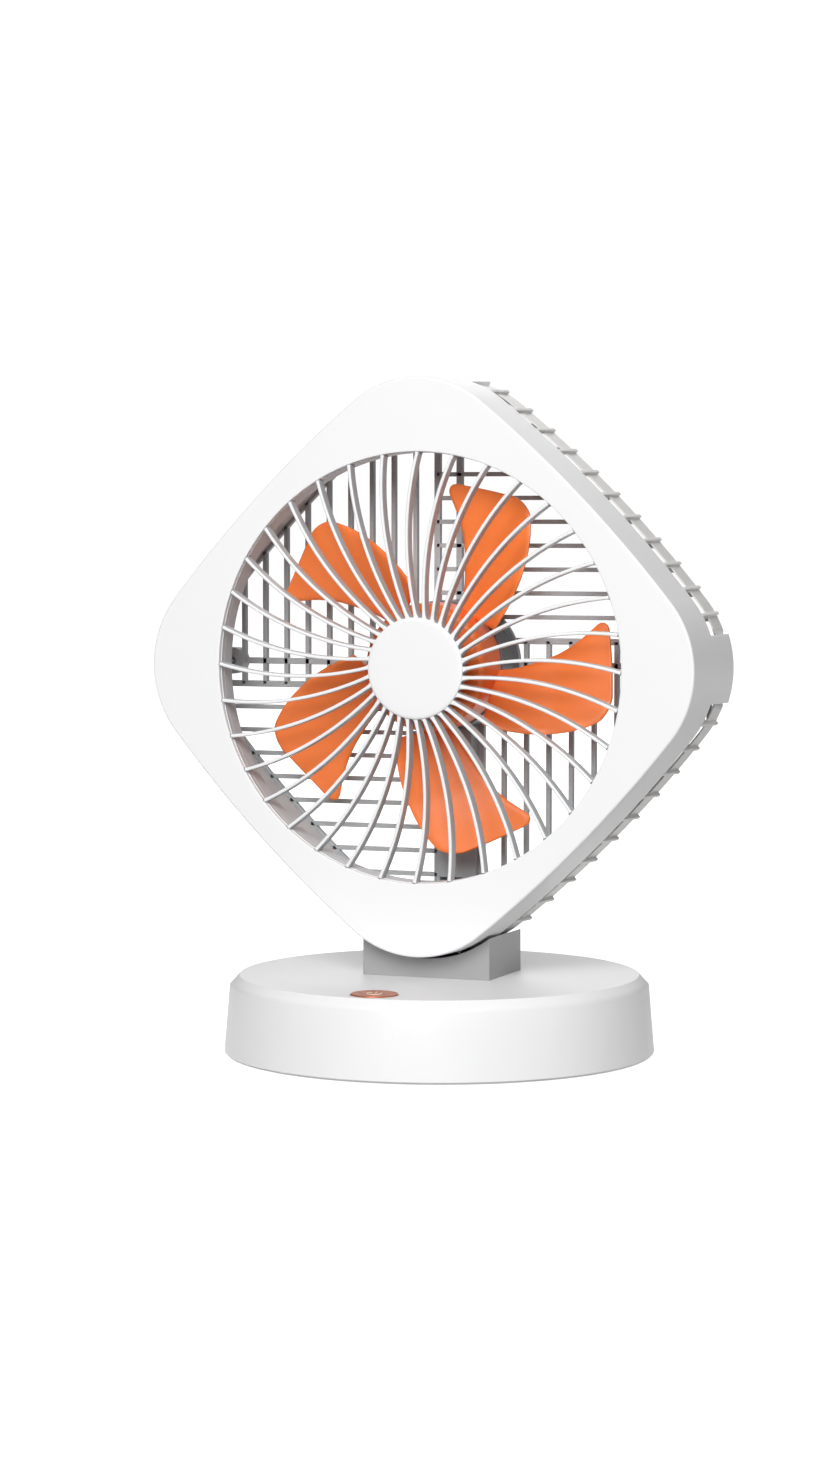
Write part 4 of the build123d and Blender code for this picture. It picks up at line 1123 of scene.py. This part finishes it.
blade = shaped("blade", about_axis(blade_solid()))
blade_places = [place((0, 0, AXIS_Z), (0, -(BLADE_TURN + math.tau * k / BLADES), 0))
                for k in range(BLADES)]
show(copies("fan_blades", blade, blade_places, orange), orange, "orange_plastic", "rotor",
     "impeller")
hub = level_ring("fan_hub", [
    (0, HUB_FRONT, 0), (HUB_R, HUB_FRONT, 2.3), (HUB_R, HUB_BACK, 0.3),
    (HUB_R - 1.6, HUB_BACK, 0.3), (HUB_R - 1.6, HUB_FRONT + 1.6, 0.6),
    (4.0, HUB_FRONT + 1.6, 0.4), (4.0, -9.5, 0.3), (1.5, -9.5, 0), (1.5, HUB_FRONT + 1.6, 0),
    (0, HUB_FRONT + 1.6, 0)], 128)
show(hub, orange, "orange_plastic", "rotor")
yoke = finish("drawn_yoke", TOOL_MARKS, {"Colour": (0.45, 0.45, 0.47, 1), "Roughness": 0.35,
              "Streak": (1, 0.06, 1)}, metallic=1.0, bump=0.1)
ground = finish("ground_shaft", TOOL_MARKS, {"Colour": (0.6, 0.6, 0.62, 1), "Roughness": 0.18,
                "Streak": (1, 0.3, 1), "Marks Per Metre": 3000.0}, metallic=1.0)
ferrite = finish("moulded_ferrite", MOULDING, {"Colour": (0.05, 0.05, 0.053, 1), "Drift": 0.5,
                 "Roughness": 0.6, "Grain Per Metre": 5000.0}, bump=0.4)
dress(yoke, "rotor_yoke")
dress(ground, "motor_shaft", "shaft_clip")
dress(ferrite, "rotor_magnet")


# ------------------------------------------------------------ table, lights and camera
# A plain pale table under soft studio light: the main light is large, high and in front of
# the fan, with weaker ones to the right and behind.
floor = bpy.data.objects.new("pale_table", plate("pale_table", (
    (-6000, 6000), (-6000, 6000), (-20, 0))))
bpy.context.scene.collection.objects.link(floor)
paint = finish("pale_table", MOULDING, {"Colour": (0.93, 0.93, 0.93, 1), "Drift": 0.01,
               "Roughness": 0.8, "Grain Per Metre": 300.0}, bump=0.0)
paint.node_tree.nodes["Principled BSDF"].inputs["Emission Color"].default_value = (1, 1, 1, 1)
paint.node_tree.nodes["Principled BSDF"].inputs["Emission Strength"].default_value = 0.88
floor.visible_diffuse = False
floor.data.materials.append(paint)

AIM = Vector((0, 0, 0.13))


def soft_light(name, spot, size, power):
    lamp = bpy.data.lights.new(name, "AREA")
    lamp.size, lamp.energy = size, power
    holder = bpy.data.objects.new(name, lamp)
    holder.location = spot
    holder.rotation_euler = (AIM - Vector(spot)).to_track_quat("-Z", "Y").to_euler()
    bpy.context.scene.collection.objects.link(holder)


soft_light("main_light", (0.38, -1.8, 1.07), 1.1, 43.5)
soft_light("right_light", (2.2, -0.2, 0.25), 0.9, 3.5)
soft_light("back_light", (-0.5, 2.0, 1.2), 1.2, 10)

world = bpy.data.worlds.new("studio")
world.use_nodes = True
bpy.context.scene.world = world
sky = world.node_tree.nodes["Background"]
sky.inputs["Color"].default_value = (1, 1, 1, 1)
seen = world.node_tree.nodes.new("ShaderNodeLightPath")
strength = world.node_tree.nodes.new("ShaderNodeMapRange")
strength.inputs["To Max"].default_value = 1.05
direction = world.node_tree.nodes.new("ShaderNodeTexCoord")
height = world.node_tree.nodes.new("ShaderNodeSeparateXYZ")
room_light = world.node_tree.nodes.new("ShaderNodeMapRange")
room_light.inputs["From Min"].default_value = -0.4
room_light.inputs["From Max"].default_value = 0.4
room_light.inputs["To Min"].default_value = 0.19
room_light.inputs["To Max"].default_value = 0.29
world.node_tree.links.new(direction.outputs["Generated"], height.inputs["Vector"])
world.node_tree.links.new(height.outputs["Z"], room_light.inputs["Value"])
world.node_tree.links.new(room_light.outputs["Result"], strength.inputs["To Min"])
world.node_tree.links.new(seen.outputs["Is Camera Ray"], strength.inputs["Value"])
world.node_tree.links.new(strength.outputs["Result"], sky.inputs["Strength"])

camera = bpy.data.cameras.new("camera")
camera.lens, camera.sensor_width = 84.65, 36
holder = bpy.data.objects.new("camera", camera)
holder.location = (0.4532, -1.1631, 0.1926)
holder.rotation_euler = (math.radians(86.44), 0, math.radians(21.71))
bpy.context.scene.collection.objects.link(holder)
bpy.context.scene.camera = holder
bpy.context.scene.view_settings.view_transform = "Standard"
